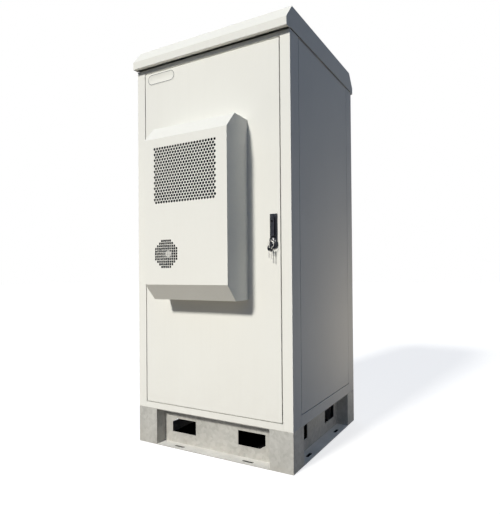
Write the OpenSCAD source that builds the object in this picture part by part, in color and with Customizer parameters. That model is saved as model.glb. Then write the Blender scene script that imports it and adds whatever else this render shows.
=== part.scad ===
// Outdoor equipment cabinet on a bolted plinth, with an air conditioner hung on its front door.
// Millimetres, +Z up, front towards -Y, origin on the floor at the middle of the plinth.

/* [Cabinet body] */
// Width of the body across the front
body_w = 750; // [700:10:900]
// Depth of the body from front to back
body_d = 750; // [700:10:900]
// Height of the body between the plinth and the roof gap
body_h = 1502; // [1450:2:1800]
// Thickness of the body and door sheet
sheet = 2; // [1.5:0.25:2.5]
// Width of the front posts beside the door
post_front_w = 42; // [40:1:60]
// Width of the posts beside the fixed panels
post_side_w = 78; // [70:1:100]
// Height of the frame under the door
sill_h = 24; // [20:1:40]
// Height of the frame over the door
header_h = 18; // [14:1:40]
// Height of the rim under the fixed panels
panel_sill_h = 43; // [30:1:70]
// Gap round the fixed panels
panel_gap = 3; // [2:0.5:5]
// Depth of the folded edges of the fixed panels
panel_depth = 20; // [15:1:30]
// Width of the ledges that the fixed panels rest on
ledge_w = 20; // [15:1:30]

/* [Plinth] */
// Height of the plinth
plinth_h = 157; // [140:1:220]
// Width of the square plinth posts
plinth_post_w = 100; // [90:1:120]
// Thickness of the plinth steel
plinth_sheet = 3; // [2:0.5:5]
// Depth of the plinth channels behind the face of the posts
plinth_recess = 55; // [48:1:70]
// Length of the returns of the plinth posts
plinth_return = 68; // [65:1:75]
// Width of a cable opening in a plinth channel
cable_w = 125; // [80:1:150]
// Height of a cable opening in a plinth channel
cable_h = 60; // [40:1:80]
// Distance of the cable openings from the plinth posts
cable_end = 44.5; // [20:0.5:80]
// Width of the cut corner of a front cable opening
cut_w = 26; // [10:1:40]
// Height of the cut corner of a front cable opening
cut_h = 16; // [8:1:30]
// Length of a floor slot
slot_len = 50; // [30:1:70]
// Width of a floor slot
slot_w = 14; // [10:1:18]
// Distance of the floor slots from the outer edge of the plinth
slot_inset = 24; // [20:1:34]
// Diameter of the bolts between plinth and body
plinth_bolt_d = 12; // [8:1:16]

/* [Roof] */
// Overhang of the roof at front and back
roof_overhang = 30; // [20:1:60]
// Height of the upright lip of the roof
roof_lip_h = 32; // [20:1:50]
// Run of the sloping front and back of the roof
roof_slope = 51; // [30:1:80]
// Height of the roof over the body
roof_h = 94; // [80:1:140]
// Width of the inward fold under the roof lip
roof_soffit = 18; // [10:1:19]
// Gap between the sides of the body and the roof
roof_gap = 6; // [4:1:12]

/* [Door] */
// Gap round the door
door_gap = 4; // [4:0.5:8]
// Depth of the folded edge of the door
door_depth = 25; // [24:1:32]
// Width of the inner flange of the door
door_flange = 42; // [41:1:50]
// Room between the folded edge of the door and the sealing lip
seal_h = 9; // [9:0.5:14]
// Width of the door seal
seal_w = 12; // [8:1:13]
// Hinge axis in from the left edge of the door
hinge_in = 16; // [15:0.5:20]
// Hinge axis behind the front of the door
hinge_back = 10; // [10:0.5:11]
// Diameter of a hinge pin
hinge_pin_d = 6; // [5:0.5:7]
// Height of the frame side barrel of a hinge
hinge_barrel = 36; // [24:1:60]
// Distance of the outer hinges from the ends of the door
hinge_end = 150; // [100:5:300]
// Width of a door stiffener
stiffener_w = 40; // [25:1:45]

/* [Lock] */
// Height of the lock above the bottom edge of the door
lock_up = 684; // [600:1:760]
// Distance of the handle from the right edge of the door
handle_in = 26; // [26:0.5:30]
// Distance between the handle spindle and the lock
handle_len = 84; // [80:1:110]
// Width of the handle base
handle_w = 28; // [25:1:34]
// Thickness of the handle base
handle_base_t = 7; // [6:0.5:12]
// Thickness of the handle lever
lever_t = 10; // [9:0.5:14]
// Width of the handle lever
lever_w = 16; // [15:1:22]
// Diameter of a lock rod
rod_d = 8; // [6:0.5:8]
// Travel of a lock rod
rod_travel = 11; // [8:0.5:11]
// Length that a lock rod reaches into its keeper
rod_engage = 9; // [5:0.5:10]
// Diameter of the key ring
ring_d = 24; // [20:1:30]

/* [Air conditioner] */
// Width of the hood
ac_w = 391; // [360:1:420]
// Height of the hood
ac_h = 705; // [650:1:760]
// Depth of the hood
ac_d = 154; // [135:1:200]
// Height of the hood above the bottom edge of the door
ac_up = 458; // [380:1:500]
// Offset of the hood from the middle of the door
ac_shift = -5.5; // [-20:0.5:10]
// Thickness of the hood's sheet
hood_sheet = 1.25; // [1:0.25:2]
// Depth of the sloping top and bottom of the hood
slope_d = 58; // [30:1:70]
// Height of the sloping top and bottom of the hood
slope_h = 62; // [30:1:80]
// Pitch of the holes in the hood
hole_pitch = 13; // [12:0.1:13.5]
// Diameter of the holes in the hood
hole_d = 10.5; // [5:0.5:11]
// Holes in a full row
hole_columns = 23; // [10:1:25]
// Rows of holes
hole_rows = 20; // [8:2:22]
// Height of the middle of the hole pattern above the bottom of the hood
hole_up = 495; // [470:1:510]
// Pitch of the square holes of the round fan grille
guard_pitch = 10.25; // [9.5:0.25:10.25]
// Width of the square holes of the round fan grille
guard_hole = 8.5; // [4:0.25:9]
// Offset of the fan from the middle of the hood
fan_x = -88; // [-100:1:-75]
// Height of the fan above the bottom of the hood
fan_up = 183; // [140:1:200]
// Width of the square fan frame
fan_w = 120; // [110:1:130]
// Depth of the fan frame
fan_d = 38; // [30:1:40]
// Gap between the blades of a fan and its frame
fan_gap = 2; // [1:0.25:4]
// Depth of the inner cover behind the door
inner_d = 105; // [95:1:120]
// Width of the inner cover
inner_w = 300; // [280:1:320]
// Height of the inner cover
inner_h = 600; // [560:1:620]

/* [Rack] */
// Clear width between the rack rails
rack_open = 450.8; // [450:0.1:460]
// Distance of the rack holes from the inner edge of a rail
rack_hole_in = 7.15; // [6.5:0.05:12]
// Height of one rack unit
rack_unit = 44.45; // [44:0.05:45]
// Width of the square rack holes
rack_hole = 9.5; // [7:0.5:10]
// Width of the face of a rack rail
rail_w = 20; // [19:1:30]
// Depth of a rack rail
rail_d = 40; // [30:1:60]
// Height of the members that carry the rails
member_h = 40; // [30:1:60]
// Distance of the front rails behind the front of the body
rack_in = 140; // [135:1:160]
// Distance of the rear rails in front of the back of the body
rack_back = 110; // [100:1:160]

/* [Hidden] */
$fn = 48;

// Colours
paint = [0.92, 0.92, 0.89];
zinc = [0.74, 0.74, 0.72];
black = [0.10, 0.10, 0.12];
steel = [0.66, 0.67, 0.68];
foam = [0.20, 0.20, 0.21];
copper = [0.72, 0.45, 0.28];
alloy = [0.80, 0.81, 0.82];

// Two ends that lie at given distances from a middle
function span(middle, ends) = [middle + ends[0], middle + ends[1]];

// Two ends at equal distances from a middle
function around(middle, reach) = [middle - reach, middle + reach];

// Clearances
play = 0.05;      // running fit of a pin or spindle, on the radius
slack = 0.3;      // clearance of other moving faces
over = 1;         // how far a cut runs past the face it opens
bolt_room = 0.5;  // clearance of a bolt or cylinder in its hole, on the radius
end_gap = 0.5;    // gap between end faces that pass each other

// Main planes of the body
side_x = body_w / 2;
front_y = -body_d / 2;
back_y = body_d / 2;
floor_z = plinth_h;
top_z = plinth_h + body_h;
post_z = [floor_z + sheet, top_z - sheet];
panel_y = [front_y + post_side_w, back_y - post_side_w];
panel_x = [-side_x + post_side_w, side_x - post_side_w];

// Doorway and door
jamb_x = side_x - post_front_w;
rebate = door_depth + seal_h;
lip_y = front_y + rebate;
lip_edge = 12;
door_x = [-jamb_x + door_gap, jamb_x - door_gap];
door_z = [floor_z + sill_h + door_gap, top_z - header_h - door_gap];
door_in = front_y + door_depth;
hinge_x = door_x[0] + hinge_in;
hinge_y = front_y + hinge_back;
seal_edge = 4;
lip_margin = 3;
seal_x = [hinge_x + 5, door_x[1] - seal_edge];
seal_z = [door_z[0] + seal_edge, door_z[1] - seal_edge];
lip_x = [seal_x[0] + seal_w + lip_margin, seal_x[1] - seal_w - lip_margin];
lip_z = [seal_z[0] + seal_w + lip_margin, seal_z[1] - seal_w - lip_margin];

// Hinges
knuckle_wall = 2.5;
knuckle_r = hinge_pin_d / 2 + knuckle_wall;
hinge_arm = 4;
hinge_z = [door_z[0] + hinge_end, (door_z[0] + door_z[1]) / 2, door_z[1] - hinge_end];
knuckle_gap = 0.5;
leaf_barrel = hinge_barrel / 2;
hinge_h = hinge_barrel + 2 * (leaf_barrel + knuckle_gap);
notch_room = 3;
notch_h = hinge_h + 2 * notch_room;
leaf_w = 34;
pin_head = 2;
pin_head_d = hinge_pin_d + 3;
pin_tail = 1;
arm_room = 0.6;

// Lock and handle
lock_x = door_x[1] - handle_in;
lock_z = door_z[0] + lock_up;
spindle_z = lock_z + handle_len;
base_y = front_y - handle_base_t;
base_top = 18;
base_low = 12;
base_end_r = handle_w / 2 + 3;
spindle_r = 9;
tongue_w = 8;
tongue_h = 14;
lever_back = base_y - end_gap;
lift_y = lever_back - lever_t / 2;
heel_r = lever_back - lift_y - slack;
lever_tip = handle_len - 18;
lever_top = 3;
lever_pin_r = 2;
cam_t = 4;
cam_y = front_y + 6;
cam_pin_r = 2.5;
cam_r0 = 18;
cam_rim = 2;
cam_r = cam_r0 + cam_pin_r + cam_rim;
pin_room = 1.5;
neck_r = 6;
rod_y = door_in + rod_d / 2 + end_gap;
rod_short = 3;
cylinder_r = 9.5;
plug_r = 5.5;
bezel_t = 2;
bezel_r = cylinder_r + 1.5;
plug_y = [base_y - bezel_t - end_gap, front_y + 13];
plug_tail = 1;
key_t = 2.2;
bow_r = 11.5;
stem_l = 4;
stem_half = 4;
bow_y = plug_y[0] - stem_l - bow_r;
key_hole_out = 4;
key_hole_r = 3.5;
wire_r = 0.9;
ring_r = ring_d / 2;
ring_y = bow_y - key_hole_out;
ring_z = lock_z - key_hole_r + wire_r + slack - ring_r;
keeper_t = 3;
keeper_room = 0.8;
keeper_prong = 2;
keeper_up = 18;
lip_gap = 1;

// Air conditioner
ac_x = around(ac_shift, ac_w / 2);
ac_z = span(door_z[0] + ac_up, [0, ac_h]);
ac_mid = ac_shift;
ac_front = front_y - ac_d;
chassis_t = 3;
chassis_gap = 0.5;
shelf_z = ac_z[0] + hood_sheet + chassis_gap;
coil_w = 270;
coil_h = 216;
coil_t = 26;
coil_back = 20;
coil_core = 8;
fin_pitch = 6;
fin_t = 1.2;
evaporator_out = 60;
evaporator_down = 40;
fan_pos = [ac_mid + fan_x, ac_z[0] + fan_up];
fan_seat = 10;
duct_r = fan_w / 2 - 5;
blade_r = duct_r - fan_gap;
hub_r = 20;
shaft_r = 3;
motor_t = 12;
inner_lap = 20;
inner_x = around(ac_mid, inner_w / 2);
inner_z = around((ac_z[0] + ac_z[1]) / 2, inner_h / 2);
inner_y = [front_y + sheet, front_y + sheet + inner_d];
hole_z = ac_z[0] + hole_up;

// Rack
rail_z = [post_z[0] + member_h, post_z[1] - member_h];
rail_units = floor((rail_z[1] - rail_z[0]) / rack_unit);
rail_x = rack_open / 2;
rail_y = [front_y + rack_in, back_y - rack_back];

// Shared shapes

// Box given by its two ends along each axis
module block(x, y, z) {
    translate([x[0], y[0], z[0]]) cube([x[1] - x[0], y[1] - y[0], z[1] - z[0]]);
}

// Extrudes an outline drawn in Y and Z along X
module along_x(x) {
    translate([x[0], 0, 0]) rotate([90, 0, 90]) linear_extrude(x[1] - x[0]) children();
}

// Extrudes an outline drawn in X and Z along Y
module along_y(y) {
    translate([0, y[1], 0]) rotate([90, 0, 0]) linear_extrude(y[1] - y[0]) children();
}

// Extrudes an outline drawn in X and Y along Z
module along_z(z) {
    translate([0, 0, z[0]]) linear_extrude(z[1] - z[0]) children();
}

// Flat rectangle given by its two ends along each axis
module plate(u, v) {
    translate([u[0], v[0]]) square([u[1] - u[0], v[1] - v[0]]);
}

// Round bar along Y
module bar_y(p, y, r) {
    translate([p[0], y[0], p[1]]) rotate([-90, 0, 0]) cylinder(h = y[1] - y[0], r = r);
}

// Turns one corner of the body into any of the four
module corner(sx, sy) {
    mirror([sx < 0 ? 1 : 0, 0, 0]) mirror([0, sy < 0 ? 1 : 0, 0]) children();
}

// Plinth

// Folded corner post with two returns and a bolted top plate
module plinth_post(sx, sy) {
    w = plinth_post_w;
    t = plinth_sheet;
    color(zinc) corner(sx, sy) translate([side_x - w, back_y - w, 0]) difference() {
        union() {
            along_z([0, plinth_h]) {
                plate([0, w], [w - t, w]);
                plate([w - t, w], [0, w]);
                plate([0, t], [w - plinth_return, w]);
                plate([w - plinth_return, w], [0, t]);
            }
            block([t, w - t], [t, w - t], [plinth_h - t, plinth_h]);
        }
        translate([w / 2, w / 2, 0]) cylinder(h = plinth_h + over, d = plinth_bolt_d + 2 * bolt_room);
    }
}

// Outline of a cable opening; cut is the pair of signs of its cut corner, or zero for none
module cable_outline(cut) {
    w = cable_w / 2;
    h = cable_h / 2;
    difference() {
        plate([-w, w], [-h, h]);
        if (cut != 0)
            scale([cut, cut]) polygon([[-w, h], [-w, h - cut_h], [cut_w - w, h]]);
    }
}

// Slot with round ends along X, through a flange that lies on the floor
module floor_slot() {
    reach = (slot_len - slot_w) / 2;
    along_z([-over, plinth_sheet + over]) {
        plate([-reach, reach], [-slot_w / 2, slot_w / 2]);
        for (s = [-1, 1]) translate([s * reach, 0]) circle(d = slot_w);
    }
}

// Outward channel between two posts, drawn on the front side of a plinth of the given size
module plinth_channel(length, face, cut) {
    half = length / 2 - plinth_post_w;
    t = plinth_sheet;
    web = -face / 2 + plinth_recess;
    cable_x = half - cable_end - cable_w / 2;
    color(zinc) difference() {
        along_x([-half, half]) {
            plate([web, web + t], [0, plinth_h]);
            plate([-face / 2, web + t], [0, t]);
            plate([-face / 2, web + t], [plinth_h - t, plinth_h]);
        }
        for (s = [-1, 1]) {
            along_y([web - over, web + t + over])
                translate([s * cable_x, plinth_h / 2]) cable_outline(cut * -s);
            translate([s * cable_x, -face / 2 + slot_inset, 0]) floor_slot();
        }
    }
}

module plinth_bolts() {
    r = plinth_bolt_d / 2;
    corner_r = 1.6 * r;
    head = 8;
    color(steel) for (sx = [-1, 1], sy = [-1, 1])
        translate([sx * (side_x - plinth_post_w / 2), sy * (back_y - plinth_post_w / 2), 0]) {
            translate([0, 0, plinth_h - plinth_sheet - head]) cylinder(h = head, r = corner_r, $fn = 6);
            translate([0, 0, plinth_h - plinth_sheet]) cylinder(h = plinth_sheet + sheet, r = r);
            translate([0, 0, floor_z + sheet]) cylinder(h = head, r = corner_r, $fn = 6);
        }
}

// Carcass

// Rim, fold and ledge that a fixed panel stands on, drawn on the right side
module panel_rim(face, ends) {
    z = floor_z + panel_sill_h;
    block([face - sheet, face], ends, [floor_z, z]);
    block([face - panel_depth, face], ends, [z - sheet, z]);
    block([face - panel_depth - sheet, face - panel_depth], ends + [ledge_w, -ledge_w],
          [z - sheet, z + ledge_w]);
}

// Right and left copies of what is drawn on the right
module both_sides() {
    children();
    mirror([1, 0, 0]) children();
}

// Turns what is drawn on the right of the body to its rear
module to_rear() {
    rotate([0, 0, 90]) children();
}

// Cable entry in the floor
gland_size = [240, 120];
gland_back = 225;
gland_y = back_y - gland_back;
gland_lap = 20;

module base_tray() {
    sill_z = floor_z + sill_h;
    color(paint) difference() {
        union() {
            block([-side_x, side_x], [front_y, back_y], [floor_z, floor_z + sheet]);
            both_sides() panel_rim(side_x, panel_y);
            to_rear() panel_rim(back_y, panel_x);
            block([-jamb_x, jamb_x], [front_y, front_y + sheet], [floor_z, sill_z]);
            block([-jamb_x, jamb_x], [front_y, lip_y], [sill_z - sheet, sill_z]);
            block(lip_x, [lip_y, lip_y + sheet], [sill_z - sheet, lip_z[0]]);
        }
        translate([0, gland_y, floor_z]) cube([gland_size[0], gland_size[1], 3 * sheet], center = true);
        for (sx = [-1, 1], sy = [-1, 1])
            translate([sx * (side_x - plinth_post_w / 2), sy * (back_y - plinth_post_w / 2), floor_z - over])
                cylinder(h = sheet + 2 * over, d = plinth_bolt_d + 2 * bolt_room);
    }
}

module gland_plate() {
    x = gland_size[0] / 2 + gland_lap;
    y = gland_size[1] / 2 + gland_lap;
    color(zinc) block([-x, x], around(gland_y, y), span(floor_z + sheet, [0, sheet]));
}

// Folded front post, drawn in distances from the side and from the front; lip is its reach inwards
module front_post(lip) {
    back = post_side_w;
    along_z(post_z) {
        plate([0, post_front_w], [0, sheet]);
        plate([0, sheet], [0, back]);
        plate([post_front_w - sheet, post_front_w], [0, rebate]);
        plate([post_front_w - sheet, lip], [rebate, rebate + sheet]);
        plate([lip - sheet, lip], [rebate, rebate + lip_edge]);
        plate([0, panel_depth + sheet], [back - sheet, back]);
        plate([panel_depth, panel_depth + sheet], [back - sheet, back + ledge_w]);
    }
}

module front_post_left() {
    color(paint) translate([-side_x, front_y, 0]) front_post(side_x + lip_x[0]);
}

module front_post_right() {
    color(paint) translate([side_x, front_y, 0]) mirror([1, 0, 0]) front_post(side_x - lip_x[1]);
}

// Folded rear post with a ledge for each of the two panels that meet it
module rear_post(sx) {
    w = post_side_w;
    d = panel_depth;
    color(paint) translate([sx * side_x, back_y, 0]) rotate([0, 0, 180]) corner(sx, 1) along_z(post_z) {
        plate([0, w], [0, sheet]);
        plate([0, sheet], [0, w]);
        plate([0, d + sheet], [w - sheet, w]);
        plate([d, d + sheet], [w - sheet, w + ledge_w]);
        plate([w - sheet, w], [0, d + sheet]);
        plate([w - sheet, w + ledge_w], [d, d + sheet]);
    }
}

// Ledge under the top that holds the upper edge of a fixed panel, drawn on the right side
module panel_head(face, ends) {
    block([face - panel_depth - sheet, face - panel_depth], ends + [ledge_w, -ledge_w],
          [top_z - 2 * ledge_w, top_z]);
}

module top_tray() {
    head_z = top_z - header_h;
    color(paint) {
        block([-side_x, side_x], [front_y, back_y], [top_z - sheet, top_z]);
        both_sides() panel_head(side_x, panel_y);
        to_rear() panel_head(back_y, panel_x);
        block([-jamb_x, jamb_x], [front_y, front_y + sheet], [head_z, top_z]);
        block([-jamb_x, jamb_x], [front_y, lip_y], [head_z, head_z + sheet]);
        block(lip_x, [lip_y, lip_y + sheet], [lip_z[1], head_z + sheet]);
    }
}

// Height of the fixed panels
panel_z = [floor_z + panel_sill_h + panel_gap, top_z - sheet - panel_gap];

// Folded tray panel, drawn on the right side
module fixed_panel(face, ends) {
    y = ends + [panel_gap, -panel_gap];
    color(paint) difference() {
        block([face - panel_depth, face], y, panel_z);
        block([face - panel_depth - over, face - sheet], y + [sheet, -sheet], panel_z + [sheet, -sheet]);
    }
}

// Foam sheet that fills a fixed panel, drawn on the right side
module panel_foam(face, ends) {
    inset = panel_gap + sheet;
    color(foam) block([face - panel_depth, face - sheet], ends + [inset, -inset], panel_z + [sheet, -sheet]);
}

module insulation_top() {
    thickness = 20;
    color(foam) block([-rail_x, rail_x], [rail_y[0], rail_y[1]], span(top_z - sheet, [-thickness, 0]));
}

// Roof

roof_y = body_d / 2 + roof_overhang;
roof_lift = 1;
roof_eave = top_z + roof_lift;
roof_lip_z = roof_eave + roof_lip_h;
roof_top = top_z + roof_h;
roof_ridge = roof_y - roof_slope;
roof_pitch = atan2(roof_top - roof_lip_z, roof_slope);

// Outer outline of one half of the roof
function roof_outer() = [[roof_y, roof_eave], [roof_y, roof_lip_z], [roof_ridge, roof_top]];

// Inner outline of one half of the roof, one sheet inside the outer one
function roof_inner() = [
    [roof_ridge - sheet * tan(roof_pitch / 2), roof_top - sheet],
    [roof_y - sheet, roof_lip_z - sheet * tan(45 - roof_pitch / 2)],
    [roof_y - sheet, roof_eave + sheet],
    [roof_y - roof_soffit, roof_eave + sheet],
    [roof_y - roof_soffit, roof_eave]];

// Mirrors a list of points about the middle
function mirrored(points) = [for (i = [len(points) - 1 : -1 : 0]) [-points[i][0], points[i][1]]];

module roof_canopy() {
    cheek = 3;
    open = back_y - cheek;
    color(paint) {
        along_x([-side_x, side_x])
            polygon(concat(roof_outer(), mirrored(roof_outer()), mirrored(roof_inner()), roof_inner()));
        both_sides() along_x([side_x - sheet, side_x]) difference() {
            polygon(concat(roof_outer(), mirrored(roof_outer())));
            plate([-open, open], [roof_eave - over, top_z + roof_gap]);
        }
    }
}

// Two rails under the ridge that carry the roof
module roof_brackets() {
    inset = 120;
    end = 60;
    flange = 40;
    x = side_x - inset;
    y = [-roof_ridge + end, roof_ridge - end];
    z = [top_z, roof_top - sheet];
    color(zinc) both_sides() along_y(y) {
        plate([x, x + sheet], z);
        plate([x - flange, x + sheet], [z[0], z[0] + sheet]);
        plate([x - flange, x + sheet], [z[1] - sheet, z[1]]);
    }
}

// Rack

// Channel along Y under or over a pair of rails, open to the middle, drawn on the right side
module rack_member(z) {
    overlap = 30;
    lap = 20;
    x = [rail_x, rail_x + rail_w + lap];
    along_y(rail_y + [-overlap, overlap]) {
        plate(x, [z[0], z[0] + sheet]);
        plate(x, [z[1] - sheet, z[1]]);
        plate([x[1] - sheet, x[1]], z);
    }
}

module rack_members() {
    color(zinc) both_sides() {
        rack_member([post_z[0], rail_z[0]]);
        rack_member([rail_z[1], post_z[1]]);
    }
}

// Angle rail with three square holes in each rack unit, drawn at the front right
module rack_rail(sx, rear) {
    first = (rail_z[0] + rail_z[1] - rail_units * rack_unit) / 2;
    hole = rack_hole / 2;
    step = 15.875;
    middle = (rail_y[0] + rail_y[1]) / 2;
    color(zinc) corner(sx, 1) translate([0, rear ? 2 * middle : 0, 0]) mirror([0, rear ? 1 : 0, 0]) {
        along_y([rail_y[0], rail_y[0] + sheet]) difference() {
            plate([rail_x, rail_x + rail_w], rail_z);
            for (i = [0 : rail_units - 1], j = [-1 : 1])
                translate([rail_x + rack_hole_in, first + (i + 0.5) * rack_unit + j * step])
                    plate([-hole, hole], [-hole, hole]);
        }
        block([rail_x + rail_w - sheet, rail_x + rail_w], [rail_y[0], rail_y[0] + rail_d], rail_z);
    }
}

earth_back = 75;
earth_y = back_y - earth_back;
earth_size = [260, 20, 6];
earth_up = 30;
earth_holes = 8;
earth_pitch = 24;
earth_hole_d = 7;
standoff_d = 18;
standoff_in = 14;

module earth_bar() {
    color(copper) difference() {
        translate([0, earth_y, post_z[0] + earth_up + earth_size[2] / 2]) cube(earth_size, center = true);
        for (i = [0 : earth_holes - 1])
            translate([(i - (earth_holes - 1) / 2) * earth_pitch, earth_y, post_z[0]])
                cylinder(h = 2 * earth_up, d = earth_hole_d);
    }
}

module earth_standoffs() {
    color("firebrick") for (s = [-1, 1])
        translate([s * (earth_size[0] / 2 - standoff_in), earth_y, post_z[0]])
            cylinder(h = earth_up, d = standoff_d);
}

// Hinges

module hinge_brackets() {
    foot = 4;
    foot_gap = 1;
    color(steel) for (z = hinge_z) difference() {
        translate([0, 0, z - hinge_barrel / 2]) {
            translate([hinge_x, hinge_y, 0]) cylinder(h = hinge_barrel, r = knuckle_r);
            block([hinge_x - hinge_arm / 2, hinge_x + hinge_arm / 2], [hinge_y, lip_y], [0, hinge_barrel]);
            block([-jamb_x + foot_gap, hinge_x + hinge_arm / 2], [lip_y - foot, lip_y], [0, hinge_barrel]);
        }
        translate([hinge_x, hinge_y, z - hinge_barrel])
            cylinder(h = 2 * hinge_barrel, d = hinge_pin_d + 2 * play);
    }
}

module hinge_pins() {
    color(alloy) for (z = hinge_z) translate([hinge_x, hinge_y, z - hinge_h / 2 - pin_tail]) {
        cylinder(h = hinge_h + pin_tail, d = hinge_pin_d);
        translate([0, 0, hinge_h + pin_tail]) cylinder(h = pin_head, d = pin_head_d);
    }
}

// Two knuckles and a plate on the inside of the door sheet
module hinge_leaves() {
    y = [front_y + sheet, front_y + 2 * sheet];
    low = hinge_h / 2 - leaf_barrel;
    color(steel) for (z = hinge_z) difference() {
        union() {
            for (s = [-1, 1]) translate([hinge_x, 0, z + s * (low + leaf_barrel / 2)]) {
                translate([0, hinge_y, -leaf_barrel / 2]) cylinder(h = leaf_barrel, r = knuckle_r);
                translate([0, 0, -leaf_barrel / 2]) block([0, knuckle_r], [y[0], hinge_y], [0, leaf_barrel]);
            }
            block([hinge_x, hinge_x + leaf_w], y, around(z, hinge_h / 2));
        }
        translate([hinge_x, hinge_y, z - hinge_h]) cylinder(h = 2 * hinge_h, d = hinge_pin_d + 2 * play);
        translate([hinge_x, hinge_y, z - low]) cylinder(h = 2 * low, r = knuckle_r + knuckle_gap);
    }
}

// Door

module door_panel() {
    inner = [sheet, -sheet];
    flange = [door_flange, -door_flange];
    lap = [inner_lap, -inner_lap];
    color(paint) difference() {
        block(door_x, [front_y, door_in], door_z);
        block(door_x + inner, [front_y + sheet, door_in - sheet], door_z + inner);
        block(door_x + flange, [front_y + sheet, door_in + over], door_z + flange);
        for (z = hinge_z)
            block([door_x[0] - over, hinge_x + hinge_arm / 2 + arm_room], [front_y + sheet, door_in + over],
                  around(z, notch_h / 2));
        bar_y([lock_x, spindle_z], [front_y - over, front_y + sheet + over], spindle_r + 2 * bolt_room);
        bar_y([lock_x, lock_z], [front_y - over, front_y + sheet + over], cylinder_r + bolt_room);
        block(around(lock_x, cam_pin_r + pin_room), [door_in - 2 * sheet, door_in + over],
              around(spindle_z, cam_r));
        block(inner_x + lap, [front_y - over, front_y + 2 * sheet], inner_z + lap);
    }
}

// Middles of the two stiffeners, between the inner cover and the hinge leaves or the cam
stiffener_mid = [(inner_x[0] + hinge_x + leaf_w) / 2, (inner_x[1] + lock_x - cam_r) / 2];

// Edges of the two stiffeners next to the air conditioner
stiffener_x = stiffener_mid + [stiffener_w / 2, -stiffener_w / 2];

// Channel from the bottom to the top of the door
module stiffener(x) {
    y = [front_y + sheet, door_in - sheet];
    along_z(door_z + [sheet, -sheet]) {
        plate(x, [y[0], y[0] + sheet]);
        plate([x[0], x[0] + sheet], y);
        plate([x[1] - sheet, x[1]], y);
    }
}

module door_stiffeners() {
    color(zinc) {
        stiffener(span(stiffener_x[0], [-stiffener_w, 0]));
        stiffener(span(stiffener_x[1], [0, stiffener_w]));
    }
}

module door_insulation() {
    edge = [sheet, -sheet];
    y = [front_y + sheet, door_in - sheet];
    color(foam) difference() {
        block(stiffener_x, y, door_z + edge);
        block(inner_x + [-over, over], [y[0] - over, y[1] + over], inner_z + [-over, over]);
    }
}

module door_seal() {
    color(black) along_y([door_in, lip_y]) difference() {
        plate(seal_x, seal_z);
        plate(seal_x + [seal_w, -seal_w], seal_z + [seal_w, -seal_w]);
    }
}

// Heights of the guides along both rods
guide_gap = 60;
guide_h = 16;
guide_z = [lip_z[0] + guide_gap, (lip_z[0] + spindle_z) / 2, spindle_z - guide_gap,
           spindle_z + guide_gap, (lip_z[1] + spindle_z) / 2, lip_z[1] - guide_gap];

module rod_guides() {
    wall = 2;
    back = 3;
    half = rod_d / 2 + wall;
    color(black) for (z = guide_z) difference() {
        block(around(lock_x, half), [door_in, rod_y + rod_d / 2 + back], around(z, guide_h / 2));
        translate([lock_x, rod_y, z - guide_h]) cylinder(h = 2 * guide_h, d = rod_d + 2 * slack);
    }
}

// Forks behind the sealing lip that the ends of the rods stand in, drawn for the top
module rod_keeper() {
    gap = rod_d / 2 + keeper_room;
    half = keeper_prong / 2;
    low = lip_gap - rod_engage - rod_short;
    y = lip_y + sheet;
    along_y([y, y + keeper_t]) plate(around(lock_x, gap + keeper_prong), [low, keeper_up]);
    for (s = [-1, 1])
        block(around(lock_x + s * (gap + half), half), [door_in + lip_gap, y], [low, -lip_gap]);
}

module rod_keepers() {
    color(steel) {
        translate([0, 0, lip_z[1]]) rod_keeper();
        translate([0, 0, lip_z[0]]) mirror([0, 0, 1]) rod_keeper();
    }
}

// Handle and lock

module handle_base() {
    low_z = lock_z - base_low;
    color(black) difference() {
        along_y([base_y, front_y]) {
            plate(around(lock_x, handle_w / 2), [low_z, spindle_z + base_top]);
            translate([lock_x, low_z]) circle(r = base_end_r);
        }
        bar_y([lock_x, spindle_z], [base_y - over, front_y + over], spindle_r + play);
        bar_y([lock_x, lock_z], [base_y - over, front_y + over], cylinder_r + play);
    }
}

module lock_cylinder() {
    color(alloy) difference() {
        union() {
            bar_y([lock_x, lock_z], [base_y - bezel_t, base_y], bezel_r);
            bar_y([lock_x, lock_z], [base_y, plug_y[1] - plug_tail], cylinder_r);
        }
        bar_y([lock_x, lock_z], [base_y - bezel_t - over, plug_y[1]], plug_r + play);
    }
}

// Point of a scroll slot at a turn of the cam, moved along and beside its middle line
function scroll(turn, along, beside) =
    let (r = cam_r0 - rod_travel * turn / 90,
         rate = -rod_travel * 2 / PI,
         a = 90 + turn,
         way = [rate * cos(a) - r * sin(a), rate * sin(a) + r * cos(a)],
         t = way / norm(way))
    r * [cos(a), sin(a)] + along * t + beside * [-t[1], t[0]];

// Round end of a scroll slot, in a number of steps
end_steps = 9;

function scroll_end(turn, start, half) =
    [for (k = [1 : end_steps - 1])
        let (a = start + k * 180 / end_steps) scroll(turn, half * sin(a), half * cos(a))];

// Scroll slot that draws a rod in evenly as the cam turns
module scroll_slot() {
    half = cam_pin_r + slack;
    polygon(concat([for (a = [0 : 6 : 90]) scroll(a, 0, half)], scroll_end(90, 0, half),
                   [for (a = [90 : -6 : 0]) scroll(a, 0, -half)], scroll_end(0, 180, half)));
}

module handle_spindle() {
    color(steel) difference() {
        union() {
            bar_y([lock_x, spindle_z], [base_y, front_y + sheet], spindle_r);
            bar_y([lock_x, spindle_z], [front_y + sheet, cam_y], neck_r);
            along_y([cam_y, cam_y + cam_t]) translate([lock_x, spindle_z]) difference() {
                circle(r = cam_r);
                for (a = [0, 180]) rotate(a) scroll_slot();
            }
            block(around(lock_x, tongue_w / 2), [lever_back - lever_t, base_y],
                  around(spindle_z, tongue_h / 2));
        }
        translate([lock_x, lift_y, spindle_z]) rotate([0, 90, 0])
            cylinder(h = lever_w, r = lever_pin_r + play, center = true);
    }
}

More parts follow.
